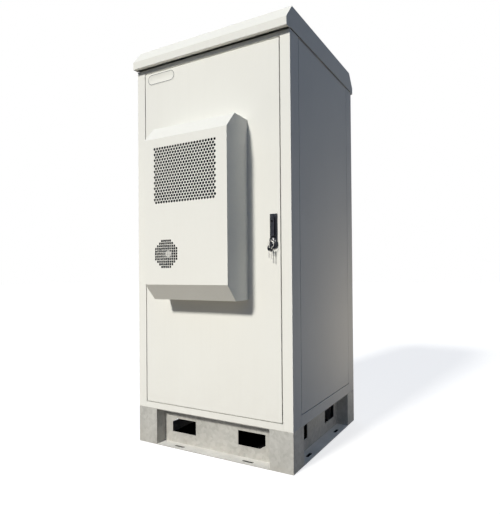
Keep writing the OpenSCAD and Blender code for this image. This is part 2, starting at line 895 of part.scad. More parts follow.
// Lever with a hollow back for the fingers and a lip at its end, drawn in Y and Z
module lever_outline() {
    front = lever_back - lever_t;
    tip_z = spindle_z - lever_tip;
    head_z = spindle_z - lever_top;
    lip = 2;
    flare_z = [tip_z + 3, tip_z + 12];
    hollow_r = 34;
    hollow_d = 4;
    hollow_z = spindle_z - 0.68 * lever_tip;
    difference() {
        polygon([[lever_back, head_z], [lever_back, tip_z], [front - lip, tip_z],
                 [front - lip, flare_z[0]], [front, flare_z[1]], [front, head_z]]);
        translate([lever_back + hollow_r - hollow_d, hollow_z]) circle(r = hollow_r);
    }
}

module handle_lever() {
    slot = tongue_w / 2 + slack;
    color(black) difference() {
        union() {
            along_x(around(lock_x, lever_w / 2)) lever_outline();
            translate([lock_x, lift_y, spindle_z]) rotate([0, 90, 0])
                cylinder(h = lever_w, r = heel_r, center = true);
        }
        block(around(lock_x, slot), [lever_back - 3 * lever_t, lever_back + over],
              span(spindle_z, [-tongue_h, 2 * tongue_h]));
        translate([lock_x, lift_y, spindle_z]) rotate([0, 90, 0])
            cylinder(h = lever_w + 2 * over, r = lever_pin_r + play, center = true);
    }
}

module lever_pin() {
    color(alloy) translate([lock_x, lift_y, spindle_z]) rotate([0, 90, 0])
        cylinder(h = lever_w, r = lever_pin_r, center = true);
}

module lock_plug() {
    color(alloy) bar_y([lock_x, lock_z], plug_y, plug_r);
}

module lock_key() {
    color(black) along_x(around(lock_x, key_t / 2)) difference() {
        union() {
            translate([bow_y, lock_z]) circle(r = bow_r);
            plate([bow_y, plug_y[0]], around(lock_z, stem_half));
        }
        translate([ring_y, lock_z]) circle(r = key_hole_r);
    }
}

module key_ring() {
    color(steel) translate([lock_x, ring_y, ring_z]) rotate([90, 0, 0])
        rotate_extrude() translate([ring_r, 0]) circle(r = wire_r, $fn = 24);
}

// Places of the two spare keys round the ring, from its lowest point
spare_turn = [-42, 10];
spare_head_r = 9.5;
spare_hole_up = 4.5;
spare_collar = 2;
spare_blade = 26;
blade_half = 3;
blade_point = 3;
hang_room = 1.5 * slack;

module spare_keys() {
    color(black) for (a = spare_turn) {
        hang = key_hole_r - wire_r / cos(a) - key_t / 2 * tan(abs(a)) - hang_room;
        x = lock_x + ring_r * sin(a);
        hole_z = ring_z - ring_r * cos(a) - hang;
        head_z = hole_z - spare_hole_up;
        tip_z = head_z - spare_head_r - spare_blade;
        along_x(around(x, key_t / 2)) difference() {
            union() {
                translate([ring_y, head_z]) circle(r = spare_head_r);
                plate(around(ring_y, stem_half), [head_z - spare_head_r - spare_collar, head_z]);
                polygon([[ring_y - blade_half, head_z], [ring_y + blade_half, head_z],
                         [ring_y + blade_half, tip_z], [ring_y, tip_z - blade_point],
                         [ring_y - blade_half, tip_z + blade_point]]);
            }
            translate([ring_y, hole_z]) circle(r = key_hole_r);
        }
    }
}

// Lock rod with its cam pin, from the spindle towards an end of the door, drawn upwards
module lock_rod(length) {
    tail = 6;
    translate([lock_x, rod_y, cam_r0 - tail]) cylinder(h = length - cam_r0 + tail, d = rod_d);
    bar_y([lock_x, cam_r0], [cam_y + end_gap, rod_y], cam_pin_r);
}

module upper_rod() {
    color(steel) translate([0, 0, spindle_z]) lock_rod(lip_z[1] - rod_short - spindle_z);
}

module lower_rod() {
    color(steel) translate([0, 0, spindle_z]) mirror([0, 0, 1]) lock_rod(spindle_z - lip_z[0] - rod_short);
}

// Air conditioner

// Outline of the hood in Y and Z, drawn one wall inside its outer face where wall isn't zero
module hood_outline(wall) {
    b = atan2(slope_h, slope_d);
    fold = wall * tan(b / 2);
    nose = wall * tan(45 - b / 2);
    back = front_y + (wall > 0 ? over : 0);
    y = [ac_front + wall, ac_front + slope_d + fold, back];
    z = [ac_z[0] + wall, ac_z[0] + slope_h + nose, ac_z[1] - slope_h - nose, ac_z[1] - wall];
    polygon([[y[2], z[0]], [y[1], z[0]], [y[0], z[1]], [y[0], z[2]], [y[1], z[3]], [y[2], z[3]]]);
}

// Staggered round holes, every other row one hole shorter
module hood_holes() {
    row = hole_pitch * sin(60);
    for (j = [0 : hole_rows - 1]) {
        count = hole_columns - (hole_rows - 1 - j) % 2;
        for (i = [0 : count - 1])
            translate([ac_mid + (i - (count - 1) / 2) * hole_pitch, hole_z + (j - (hole_rows - 1) / 2) * row])
                circle(d = hole_d, $fn = 16);
    }
}

// Square holes on a square grid inside a circle
module guard_holes() {
    reach = 5;
    h = guard_hole / 2;
    for (i = [-reach : reach], j = [-reach : reach])
        if (i * i + j * j < 29.5)
            translate(fan_pos + guard_pitch * [i, j]) plate([-h, h], [-h, h]);
}

module ac_hood() {
    color(paint) difference() {
        along_x(ac_x) hood_outline(0);
        along_x(ac_x + [hood_sheet, -hood_sheet]) hood_outline(hood_sheet);
        along_y([ac_front - over, ac_front + hood_sheet + over]) {
            hood_holes();
            guard_holes();
        }
    }
}

// Back plate inside the hood with side flanges and a shelf
module ac_chassis() {
    gap = hood_sheet + chassis_gap;
    x = ac_x + [gap, -gap];
    z = [shelf_z, ac_z[1] - gap];
    flange = 40;
    color(zinc) {
        block(x, [front_y - chassis_t, front_y], z);
        for (e = [x[0], x[1] - sheet]) block([e, e + sheet], [front_y - flange, front_y], z);
        block(x, [ac_front + slope_d + 2 * sheet, front_y], span(z[0], [0, chassis_t]));
    }
}

// Finned block between two tube plates, drawn with its face at the first end of y
module coil(x, y, z, face) {
    fins = floor((x[1] - x[0] - 2 * sheet) / fin_pitch) - 1;
    core = span(face, [coil_core, coil_t]);
    for (e = [x[0], x[1] - sheet]) block([e, e + sheet], y, z);
    block(x + [sheet, -sheet], core, z);
    for (i = [1 : fins])
        block(span(x[0] + i * fin_pitch, [0, fin_t]), [face, core[0]], z);
}

// Condenser behind the hood's holes and evaporator in the inner cover
module ac_coils() {
    x = around(ac_mid, coil_w / 2);
    outer_y = ac_front + hood_sheet + coil_back;
    inner_back = inner_y[1] - sheet;
    evaporator_y = inner_back - evaporator_out;
    color(alloy) {
        coil(x, [outer_y, front_y - chassis_t], around(hole_z, coil_h / 2), outer_y);
        coil(x, [evaporator_y, inner_back], span(inner_z[1] - evaporator_down, [-coil_h, 0]), evaporator_y);
    }
}

module ac_compressor() {
    r = 42;
    h = 175;
    foot = 4;
    beside = 95;
    behind = 2;
    base = 12;
    dome = [14, 20];
    crown = 4;
    color(black) translate([ac_mid + beside, front_y - chassis_t - behind - r, shelf_z + chassis_t]) {
        rotate_extrude() polygon([[0, foot], [r - base, foot], [r, foot + base], [r, h - dome[1]],
                                  [r - dome[0], h - crown], [0, h]]);
        translate([-r, -r, 0]) cube([2 * r, 2 * r, foot]);
    }
}

// Slots of the return air grille of the inner cover
module return_slots() {
    rows = 10;
    pitch = 18;
    down = 60;
    beside = 62;
    slot = [52, 4];
    for (i = [0 : rows - 1], s = [-1, 1])
        translate([ac_mid + s * beside, inner_z[1] - down - i * pitch])
            plate([-slot[0], slot[0]], [-slot[1], slot[1]]);
}

// Middle of the inner fan
inner_fan_up = 130;
inner_fan_pos = [ac_mid, inner_z[0] + inner_fan_up];

module ac_inner_cover() {
    color(paint) difference() {
        block(inner_x, inner_y, inner_z);
        block(inner_x + [sheet, -sheet], [inner_y[0] - over, inner_y[1] - sheet], inner_z + [sheet, -sheet]);
        along_y([inner_y[1] - 2 * sheet, inner_y[1] + over]) {
            return_slots();
            translate(inner_fan_pos - fan_pos) guard_holes();
        }
    }
}

// Fan frame with four feet, a round duct, and a motor hub on four arms; its feet stand on the plane y = 0
module fan_frame() {
    w = fan_w / 2;
    back = fan_seat + fan_d;
    arm = 6;
    arm_t = 4;
    arm_root = 2;
    foot_r = 5;
    foot_x = w - 8;
    wall = 3;
    difference() {
        union() {
            along_y([fan_seat, back]) difference() {
                plate([-w, w], [-w, w]);
                circle(r = duct_r);
            }
            for (sx = [-1, 1], sz = [-1, 1]) bar_y([sx * foot_x, sz * foot_x], [0, fan_seat], foot_r);
            bar_y([0, 0], [back - motor_t, back], hub_r);
            for (a = [0, 90]) rotate([0, a + 45, 0])
                block(around(0, duct_r + arm_root), [back - arm_t, back], [-arm / 2, arm / 2]);
        }
        bar_y([0, 0], [0, back - wall], shaft_r + play);
    }
}

// Places the outer fan behind the hood and the inner fan in front of the inner cover
module at_outer_fan() {
    translate([fan_pos[0], ac_front + hood_sheet, fan_pos[1]]) children();
}

module at_inner_fan() {
    translate([inner_fan_pos[0], inner_y[1] - sheet, inner_fan_pos[1]]) rotate([0, 0, 180]) children();
}

module fan_frames() {
    color(black) {
        at_outer_fan() fan_frame();
        at_inner_fan() fan_frame();
    }
}

// Hub with a shaft in the motor and tilted blades
module fan_rotor() {
    blades = 7;
    gap = [2, 3];
    blade = [1, 17];
    tilt = 52;
    root = 3;
    shaft_end = 4;
    y = span(fan_seat, [gap[0], fan_d - motor_t - gap[1]]);
    bar_y([0, 0], y, hub_r);
    bar_y([0, 0], [y[1], fan_seat + fan_d - shaft_end], shaft_r);
    intersection() {
        bar_y([0, 0], y, blade_r);
        for (i = [0 : blades - 1]) rotate([0, i * 360 / blades, 0])
            translate([hub_r - root, (y[0] + y[1]) / 2, 0]) rotate([tilt, 0, 0])
                block([0, blade_r], around(0, blade[0]), around(0, blade[1]));
    }
}

module outer_fan_rotor() {
    color(black) at_outer_fan() fan_rotor();
}

module inner_fan_rotor() {
    color(black) at_inner_fan() fan_rotor();
}

plinth_post(-1, -1);  // plinth_post_fl
plinth_post(1, -1);  // plinth_post_fr
plinth_post(-1, 1);  // plinth_post_rl
plinth_post(1, 1);  // plinth_post_rr
plinth_channel(body_w, body_d, 1);  // plinth_channel_front
rotate([0, 0, 180]) plinth_channel(body_w, body_d, 1);  // plinth_channel_rear
rotate([0, 0, -90]) plinth_channel(body_d, body_w, 0);  // plinth_channel_left
rotate([0, 0, 90]) plinth_channel(body_d, body_w, 0);  // plinth_channel_right
plinth_bolts();
base_tray();
gland_plate();
front_post_left();
front_post_right();
rear_post(-1);  // rear_post_left
rear_post(1);  // rear_post_right
top_tray();
mirror([1, 0, 0]) fixed_panel(side_x, panel_y);  // side_panel_left
fixed_panel(side_x, panel_y);  // side_panel_right
to_rear() fixed_panel(back_y, panel_x);  // rear_panel
mirror([1, 0, 0]) panel_foam(side_x, panel_y);  // insulation_left
panel_foam(side_x, panel_y);  // insulation_right
to_rear() panel_foam(back_y, panel_x);  // insulation_rear
insulation_top();
roof_brackets();
roof_canopy();
rack_members();
rack_rail(-1, false);  // rack_rail_fl
rack_rail(1, false);  // rack_rail_fr
rack_rail(-1, true);  // rack_rail_rl
rack_rail(1, true);  // rack_rail_rr
earth_bar();
earth_standoffs();
hinge_brackets();
hinge_pins();
rod_keepers();
door_panel();
door_stiffeners();
door_insulation();
door_seal();
hinge_leaves();
rod_guides();
handle_base();
lock_cylinder();
handle_spindle();
handle_lever();
lever_pin();
lock_plug();
lock_key();
key_ring();
spare_keys();
upper_rod();
lower_rod();
ac_hood();
ac_chassis();
ac_coils();
ac_compressor();
ac_inner_cover();
fan_frames();
outer_fan_rotor();
inner_fan_rotor();
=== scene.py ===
"""Looks of an outdoor equipment cabinet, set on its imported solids.

The solids give every main shape and place. This script gives them their finishes, rounds their
sheet edges, adds small trim, and sets a plain studio with the camera of the photograph.
"""

from __future__ import annotations

import logging
import math
from dataclasses import dataclass, field
from enum import Enum
from typing import Any, Iterable, Sequence

import bmesh
import bpy
from mathutils import Matrix, Vector

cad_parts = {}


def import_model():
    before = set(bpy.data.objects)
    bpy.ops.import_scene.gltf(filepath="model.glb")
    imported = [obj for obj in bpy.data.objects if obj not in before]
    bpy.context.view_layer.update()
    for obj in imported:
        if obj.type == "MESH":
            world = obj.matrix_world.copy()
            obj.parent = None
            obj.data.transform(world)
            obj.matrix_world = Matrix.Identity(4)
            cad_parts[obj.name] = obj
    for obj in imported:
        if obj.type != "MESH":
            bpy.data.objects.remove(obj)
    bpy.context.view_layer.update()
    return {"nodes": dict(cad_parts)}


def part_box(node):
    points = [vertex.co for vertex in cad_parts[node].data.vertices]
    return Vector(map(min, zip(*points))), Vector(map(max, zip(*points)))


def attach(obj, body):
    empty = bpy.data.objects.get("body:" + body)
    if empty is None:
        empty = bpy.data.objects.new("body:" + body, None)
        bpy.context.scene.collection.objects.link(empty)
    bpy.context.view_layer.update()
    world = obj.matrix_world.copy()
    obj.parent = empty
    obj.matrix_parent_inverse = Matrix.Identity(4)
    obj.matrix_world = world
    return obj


LOG = logging.getLogger("cabinet")

Pair = tuple[float, float]
Triple = tuple[float, float, float]
Colour = Triple
Profile = tuple[Pair, ...]
Socket = bpy.types.NodeSocket
NodeTree = bpy.types.NodeTree
Piece = bpy.types.Object
BMesh = bmesh.types.BMesh

WHITE: Colour = (1.0, 1.0, 1.0)
WARM: Colour = (1.0, 0.86, 0.67)
TO_BACK: Triple = (0.0, 1.0, 0.0)
TO_FRONT: Triple = (0.0, -1.0, 0.0)
UP: Triple = (0.0, 0.0, 1.0)


def rgba(colour: Colour) -> tuple[float, float, float, float]:
    """Returns a colour with full alpha."""
    return (*colour, 1.0)


def turns(steps: int) -> list[float]:
    """Returns the angles of the points of a circle."""
    return [2.0 * math.pi * k / steps for k in range(steps)]


class Grain(Enum):
    """Kinds of fine surface relief."""

    PEEL = "orange peel of a powder coat"
    SPANGLE = "zinc crystals"
    BRUSHED = "fine drawn lines"
    CELLS = "closed foam cells"
    FINE = "moulded grain"


class Sketch:
    """Lays out the nodes of one tree."""

    # Places of the colour sockets on a Mix node.
    MIX_FACTOR, MIX_A, MIX_B, MIX_RESULT = 0, 6, 7, 2

    def __init__(self, tree: NodeTree) -> None:
        """Keeps the tree that the nodes go into."""
        self.tree = tree

    @classmethod
    def blank(cls, owner: bpy.types.Material | bpy.types.World) -> Sketch:
        """Empties the tree of a material or a world.

        Args:
            owner: the material or world.

        Returns:
            The sketch of its tree.
        """
        owner.use_nodes = True
        owner.node_tree.nodes.clear()
        return cls(owner.node_tree)

    def add(self, kind: str, inputs: dict[Any, Any] | None = None, **props: Any) -> bpy.types.Node:
        """Adds a node.

        Args:
            kind: Blender's name of the node type.
            inputs: values or sockets for its inputs, by name or number.
            **props: other properties of the node.

        Returns:
            The new node.
        """
        node = self.tree.nodes.new(kind)
        for key, value in props.items():
            setattr(node, key, value)
        for key, value in (inputs or {}).items():
            if isinstance(value, Socket):
                self.tree.links.new(value, node.inputs[key])
            else:
                node.inputs[key].default_value = value
        return node

    def give(self, output: bpy.types.Node, **results: Socket) -> NodeTree:
        """Links the results of a group to its output.

        Args:
            output: the group's output node.
            **results: the result sockets, by the names of the outputs.

        Returns:
            The group's tree.
        """
        for name, result in results.items():
            self.tree.links.new(result, output.inputs[name])
        return self.tree

    def math(self, operation: str, a: Any, b: Any) -> Socket:
        """Adds a Math node.

        Args:
            operation: Blender's name of the operation.
            a: first value or socket.
            b: second value or socket.

        Returns:
            The result socket.
        """
        return self.add("ShaderNodeMath", {0: a, 1: b}, operation=operation).outputs[0]

    def spread(
        self,
        value: Socket,
        span: tuple[Any, Any],
        ends: tuple[Any, Any] = (0.0, 1.0),
        curve: str = "LINEAR",
    ) -> Socket:
        """Maps a value from a span to two ends.

        Args:
            value: socket to map.
            span: the values that give the first and the second end.
            ends: the results there, as numbers or sockets.
            curve: Blender's name of the interpolation.

        Returns:
            The mapped socket.
        """
        inputs = {"Value": value, "From Min": span[0], "From Max": span[1]}
        inputs |= {"To Min": ends[0], "To Max": ends[1]}
        return self.add("ShaderNodeMapRange", inputs, interpolation_type=curve).outputs[0]

    def mix(self, factor: Any, a: Any, b: Any) -> Socket:
        """Mixes two colours.

        Args:
            factor: share of the second colour.
            a: first colour or socket.
            b: second colour or socket.

        Returns:
            The mixed colour socket.
        """
        inputs = {self.MIX_FACTOR: factor, self.MIX_A: a, self.MIX_B: b}
        return self.add("ShaderNodeMix", inputs, data_type="RGBA").outputs[self.MIX_RESULT]

    def place(self) -> Socket:
        """Returns the position on the object, in metres."""
        return self.add("ShaderNodeTexCoord").outputs["Object"]

    def height_of(self, vector: Socket) -> Socket:
        """Returns the Z of a vector."""
        return self.add("ShaderNodeSeparateXYZ", {0: vector}).outputs["Z"]

    def stretched(self, factors: Triple) -> Socket:
        """Returns the object's coordinates, each multiplied by its factor."""
        inputs = {0: self.place(), 1: factors}
        return self.add("ShaderNodeVectorMath", inputs, operation="MULTIPLY").outputs[0]

    def noise(self, scale: Any, detail: float, vector: Socket | None = None) -> Socket:
        """Adds a noise texture.

        Args:
            scale: features per metre.
            detail: octaves.
            vector: coordinates, or None for the object's own.

        Returns:
            The value socket.
        """
        where = self.place() if vector is None else vector
        inputs = {"Vector": where, "Scale": scale, "Detail": detail}
        return self.add("ShaderNodeTexNoise", inputs).outputs[0]

    def cells(self, scale: Any) -> bpy.types.NodeOutputs:
        """Adds a texture of cells.

        Args:
            scale: cells per metre.

        Returns:
            Its output sockets.
        """
        inputs = {"Vector": self.place(), "Scale": scale}
        return self.add("ShaderNodeTexVoronoi", inputs).outputs


@dataclass(frozen=True)
class Mottle:
    """Patches over a surface: a noise that is spread between two ends.

    Attributes:
        scale: features per metre.
        detail: octaves of the noise.
        span: values of the noise that give the two ends.
        ends: results there.
        stretch: factors of the object's coordinates, or None.
    """

    scale: float
    detail: float
    span: Pair
    ends: Pair
    stretch: Triple | None = None

    def draw(self, sketch: Sketch) -> Socket:
        """Draws the patches.

        Args:
            sketch: the tree that takes the nodes.

        Returns:
            The value socket.
        """
        where = sketch.stretched(self.stretch) if self.stretch else None
        return sketch.spread(sketch.noise(self.scale, self.detail, where), self.span, self.ends)


class Effects:
    """Shared effects, each a shader node group that is built once."""

    COLOUR_SOCKETS = ("Color", "Other", "Dust", "Worn")
    TONE_DETAIL, TONE_SPAN = 4.0, (0.32, 0.68)
    LEVEL_DETAIL, LEVEL_SPAN = 5.0, (0.3, 0.7)
    DUST_PATCH = Mottle(14.0, 6.0, (0.35, 0.7), (0.2, 1.0))
    RAIN_MARKS = Mottle(1.0, 4.0, (0.5, 0.8), (0.0, 0.22), (55.0, 55.0, 1.6))
    EDGE_SPAN = (0.52, 0.62)
    EDGE_PATCH = Mottle(70.0, 5.0, (0.4, 0.65), (0.3, 1.0))
    # Faces that look up get pale colour, part dust and part painted sheen.
    FACES_UP = (0.5, 0.9)
    TOP_DUST_AND_SHEEN_PATCH = Mottle(9.0, 5.0, (0.35, 0.65), (0.7, 1.0))
    CRYSTAL_SHARE, NEEDLE_SHARE = 0.7, 0.3
    NEEDLE_SCALE, NEEDLE_DETAIL = 9.0, 4.0
    BRUSH_DETAIL, BRUSH_STRETCH = 3.0, (12.0, 12.0, 0.35)
    RISE_DETAIL = {Grain.PEEL: 2.0, Grain.FINE: 5.0}
    SWELL_SCALE, SWELL_DETAIL = 0.12, 2.0
    SWELL_SHARE = {Grain.PEEL: 1.2, Grain.FINE: 0.2}

    def __init__(self) -> None:
        """Builds the groups."""
        self.tone = self._tone()
        self.level = self._level()
        self.dust = self._dust()
        self.edge = self._edge()
        self.settled = self._top_dust_and_sheen()
        self.grains = {grain: self._grain(grain) for grain in Grain}

    def _group(
        self, name: str, takes: Sequence[str], gives: Sequence[str]
    ) -> tuple[Sketch, bpy.types.NodeOutputs, bpy.types.Node]:
        """Makes an empty group.

        Args:
            name: name of the group.
            takes: names of its inputs.
            gives: names of its outputs.

        Returns:
            The sketch of the group, its input sockets and its output node.
        """
        tree = bpy.data.node_groups.new(name, "ShaderNodeTree")
        for side, labels in (("INPUT", takes), ("OUTPUT", gives)):
            for label in labels:
                coloured = label in self.COLOUR_SOCKETS
                kind = "NodeSocketColor" if coloured else "NodeSocketFloat"
                tree.interface.new_socket(label, in_out=side, socket_type=kind)
        sketch = Sketch(tree)
        return sketch, sketch.add("NodeGroupInput").outputs, sketch.add("NodeGroupOutput")

    def _tone(self) -> NodeTree:
        """Makes the drift between two colours over the surface.

        Returns:
            The group.
        """
        sketch, takes, gives = self._group("Tone", ("Color", "Other", "Scale"), ("Color",))
        share = sketch.spread(sketch.noise(takes["Scale"], self.TONE_DETAIL), self.TONE_SPAN)
        return sketch.give(gives, Color=sketch.mix(share, takes["Color"], takes["Other"]))

    def _level(self) -> NodeTree:
        """Makes the drift between two values over the surface.

        Returns:
            The group.
        """
        sketch, takes, gives = self._group("Level", ("Scale", "Low", "High"), ("Value",))
        noise = sketch.noise(takes["Scale"], self.LEVEL_DETAIL)
        ends = (takes["Low"], takes["High"])
        return sketch.give(gives, Value=sketch.spread(noise, self.LEVEL_SPAN, ends))

    def _dust(self) -> NodeTree:
        """Makes the road dust near the ground, and faint rain marks all over.

        Returns:
            The group.
        """
        inputs = ("Color", "Dust", "Reach", "Amount")
        sketch, takes, gives = self._group("Dust", inputs, ("Color",))
        height = sketch.height_of(sketch.place())
        low = sketch.spread(height, (0.0, takes["Reach"]), (1.0, 0.0), "SMOOTHSTEP")
        near = sketch.math("MULTIPLY", low, self.DUST_PATCH.draw(sketch))
        both = sketch.math("ADD", near, self.RAIN_MARKS.draw(sketch))
        share = sketch.math("MULTIPLY", both, takes["Amount"])
        return sketch.give(gives, Color=sketch.mix(share, takes["Color"], takes["Dust"]))

    def _edge(self) -> NodeTree:
        """Makes the wear that lightens convex edges.

        Returns:
            The group.
        """
        sketch, takes, gives = self._group("Edge", ("Color", "Worn", "Amount"), ("Color",))
        sharp = sketch.add("ShaderNodeNewGeometry").outputs["Pointiness"]
        rim = sketch.spread(sharp, self.EDGE_SPAN)
        broken = sketch.math("MULTIPLY", rim, self.EDGE_PATCH.draw(sketch))
        share = sketch.math("MULTIPLY", broken, takes["Amount"])
        return sketch.give(gives, Color=sketch.mix(share, takes["Color"], takes["Worn"]))

    def _top_dust_and_sheen(self) -> NodeTree:
        """Makes pale colour on faces that look up: part fine dust, part painted sheen where those
        faces catch the light.

        Returns:
            The group.
        """
        sketch, takes, gives = self._group("Settled", ("Color", "Dust", "Amount"), ("Color",))
        normal = sketch.add("ShaderNodeNewGeometry").outputs["True Normal"]
        level = sketch.spread(sketch.height_of(normal), self.FACES_UP)
        broken = sketch.math("MULTIPLY", level, self.TOP_DUST_AND_SHEEN_PATCH.draw(sketch))
        share = sketch.math("MULTIPLY", broken, takes["Amount"])
        return sketch.give(gives, Color=sketch.mix(share, takes["Color"], takes["Dust"]))

    def _grain(self, grain: Grain) -> NodeTree:
        """Makes one kind of relief.

        Args:
            grain: the kind.

        Returns:
            A group with the relief's height and a tone that follows it.
        """
        name = "Grain " + grain.name.lower()
        sketch, takes, gives = self._group(name, ("Scale",), ("Height", "Tone"))
        scale = takes["Scale"]
        if grain is Grain.SPANGLE:
            crystals = sketch.cells(scale)["Color"]
            shade = sketch.add("ShaderNodeSeparateColor", {0: crystals}).outputs[0]
            fine = sketch.math("MULTIPLY", scale, self.NEEDLE_SCALE)
            height = sketch.noise(fine, self.NEEDLE_DETAIL)
            tone = sketch.math(
                "ADD",
                sketch.math("MULTIPLY", shade, self.CRYSTAL_SHARE),
                sketch.math("MULTIPLY", height, self.NEEDLE_SHARE),
            )
        elif grain is Grain.BRUSHED:
            lines = sketch.stretched(self.BRUSH_STRETCH)
            height = tone = sketch.noise(scale, self.BRUSH_DETAIL, lines)
        elif grain is Grain.CELLS:
            height = tone = sketch.math("SUBTRACT", 1.0, sketch.cells(scale)["Distance"])
        else:
            tone = sketch.noise(scale, self.RISE_DETAIL[grain])
            coarse = sketch.math("MULTIPLY", scale, self.SWELL_SCALE)
            swell = sketch.noise(coarse, self.SWELL_DETAIL)
            swell = sketch.math("MULTIPLY", swell, self.SWELL_SHARE[grain])
            height = sketch.math("ADD", tone, swell)
        return sketch.give(gives, Height=height, Tone=tone)


@dataclass(frozen=True)
class Finish:
    """A procedural surface with drift in colour and gloss, fine relief, dust, worn edges, and
    paler faces that look up, part dust and part painted sheen.

    Scales are in features per metre, depths and reaches in metres, and amounts run from 0 to 1.
    """

    name: str
    colour: Colour
    other: Colour
    rough: Pair
    metallic: float = 0.0
    grain: Grain = Grain.FINE
    grain_scale: float = 900.0
    grain_depth: float = 0.0001
    grain_tone: float = 0.0
    tone_scale: float = 3.0
    gloss_per_tone: float = 4.0
    dust: float = 0.0
    dust_colour: Colour = (0.42, 0.37, 0.30)
    dust_reach: float = 0.45
    worn: Colour = (0.8, 0.8, 0.8)
    wear: float = 0.0
    specular: float = 0.5
    # Pale colour on faces that look up, part settled dust and part painted sheen.
    settled: float = 0.0
    top_dust_and_sheen_colour: Colour = (0.90, 0.89, 0.85)

    def build(self, effects: Effects) -> bpy.types.Material:
        """Makes the material.

        Args:
            effects: the shared node groups.

        Returns:
            The new material.
        """
        material = bpy.data.materials.new(self.name)
        material.diffuse_color = rgba(self.colour)
        sketch = Sketch.blank(material)
        relief = self._place(sketch, effects.grains[self.grain], Scale=self.grain_scale)
        gloss = self._place(
            sketch,
            effects.level,
            Scale=self.tone_scale * self.gloss_per_tone,
            Low=self.rough[0],
            High=self.rough[1],
        )
        bump = sketch.add(
            "ShaderNodeBump",
            {"Height": relief["Height"], "Strength": 1.0, "Distance": self.grain_depth},
        )
        shader = sketch.add(
            "ShaderNodeBsdfPrincipled",
            {
                "Base Color": self._base_colour(sketch, effects, relief["Tone"]),
                "Roughness": gloss["Value"],
                "Metallic": self.metallic,
                "Specular IOR Level": self.specular,
                "Normal": bump.outputs[0],
            },
        )
        sketch.add("ShaderNodeOutputMaterial", {"Surface": shader.outputs[0]})
        return material

    def _base_colour(self, sketch: Sketch, effects: Effects, relief: Socket) -> Socket:
        """Lays the colour: its drift, the relief's tone, worn edges, dust, and paler faces that
        look up, part dust and part painted sheen.

        Args:
            sketch: the material's sketch.
            effects: the shared node groups.
            relief: tone of the relief.

        Returns:
            The colour socket.
        """
        colours = {"Color": rgba(self.colour), "Other": rgba(self.other)}
        colour = self._place(sketch, effects.tone, **colours, Scale=self.tone_scale)["Color"]
        if self.grain_tone:
            share = sketch.math("MULTIPLY", relief, self.grain_tone)
            colour = sketch.mix(share, colour, rgba(self.worn))
        layers = (
            (self.wear, effects.edge, {"Worn": rgba(self.worn)}),
            (self.dust, effects.dust, {"Dust": rgba(self.dust_colour), "Reach": self.dust_reach}),
            # Part dust and part painted sheen on faces that look up.
            (self.settled, effects.settled, {"Dust": rgba(self.top_dust_and_sheen_colour)}),
        )
        for amount, group, inputs in layers:
            if amount:
                colour = self._place(sketch, group, Color=colour, Amount=amount, **inputs)["Color"]
        return colour

    @staticmethod
    def _place(sketch: Sketch, group: NodeTree, **inputs: Any) -> bpy.types.NodeOutputs:
        """Places a group in a material.

        Args:
            sketch: the material's sketch.
            group: the group.
            **inputs: values or sockets for its inputs.

        Returns:
            The output sockets of the group node.
        """
        return sketch.add("ShaderNodeGroup", inputs, node_tree=group).outputs


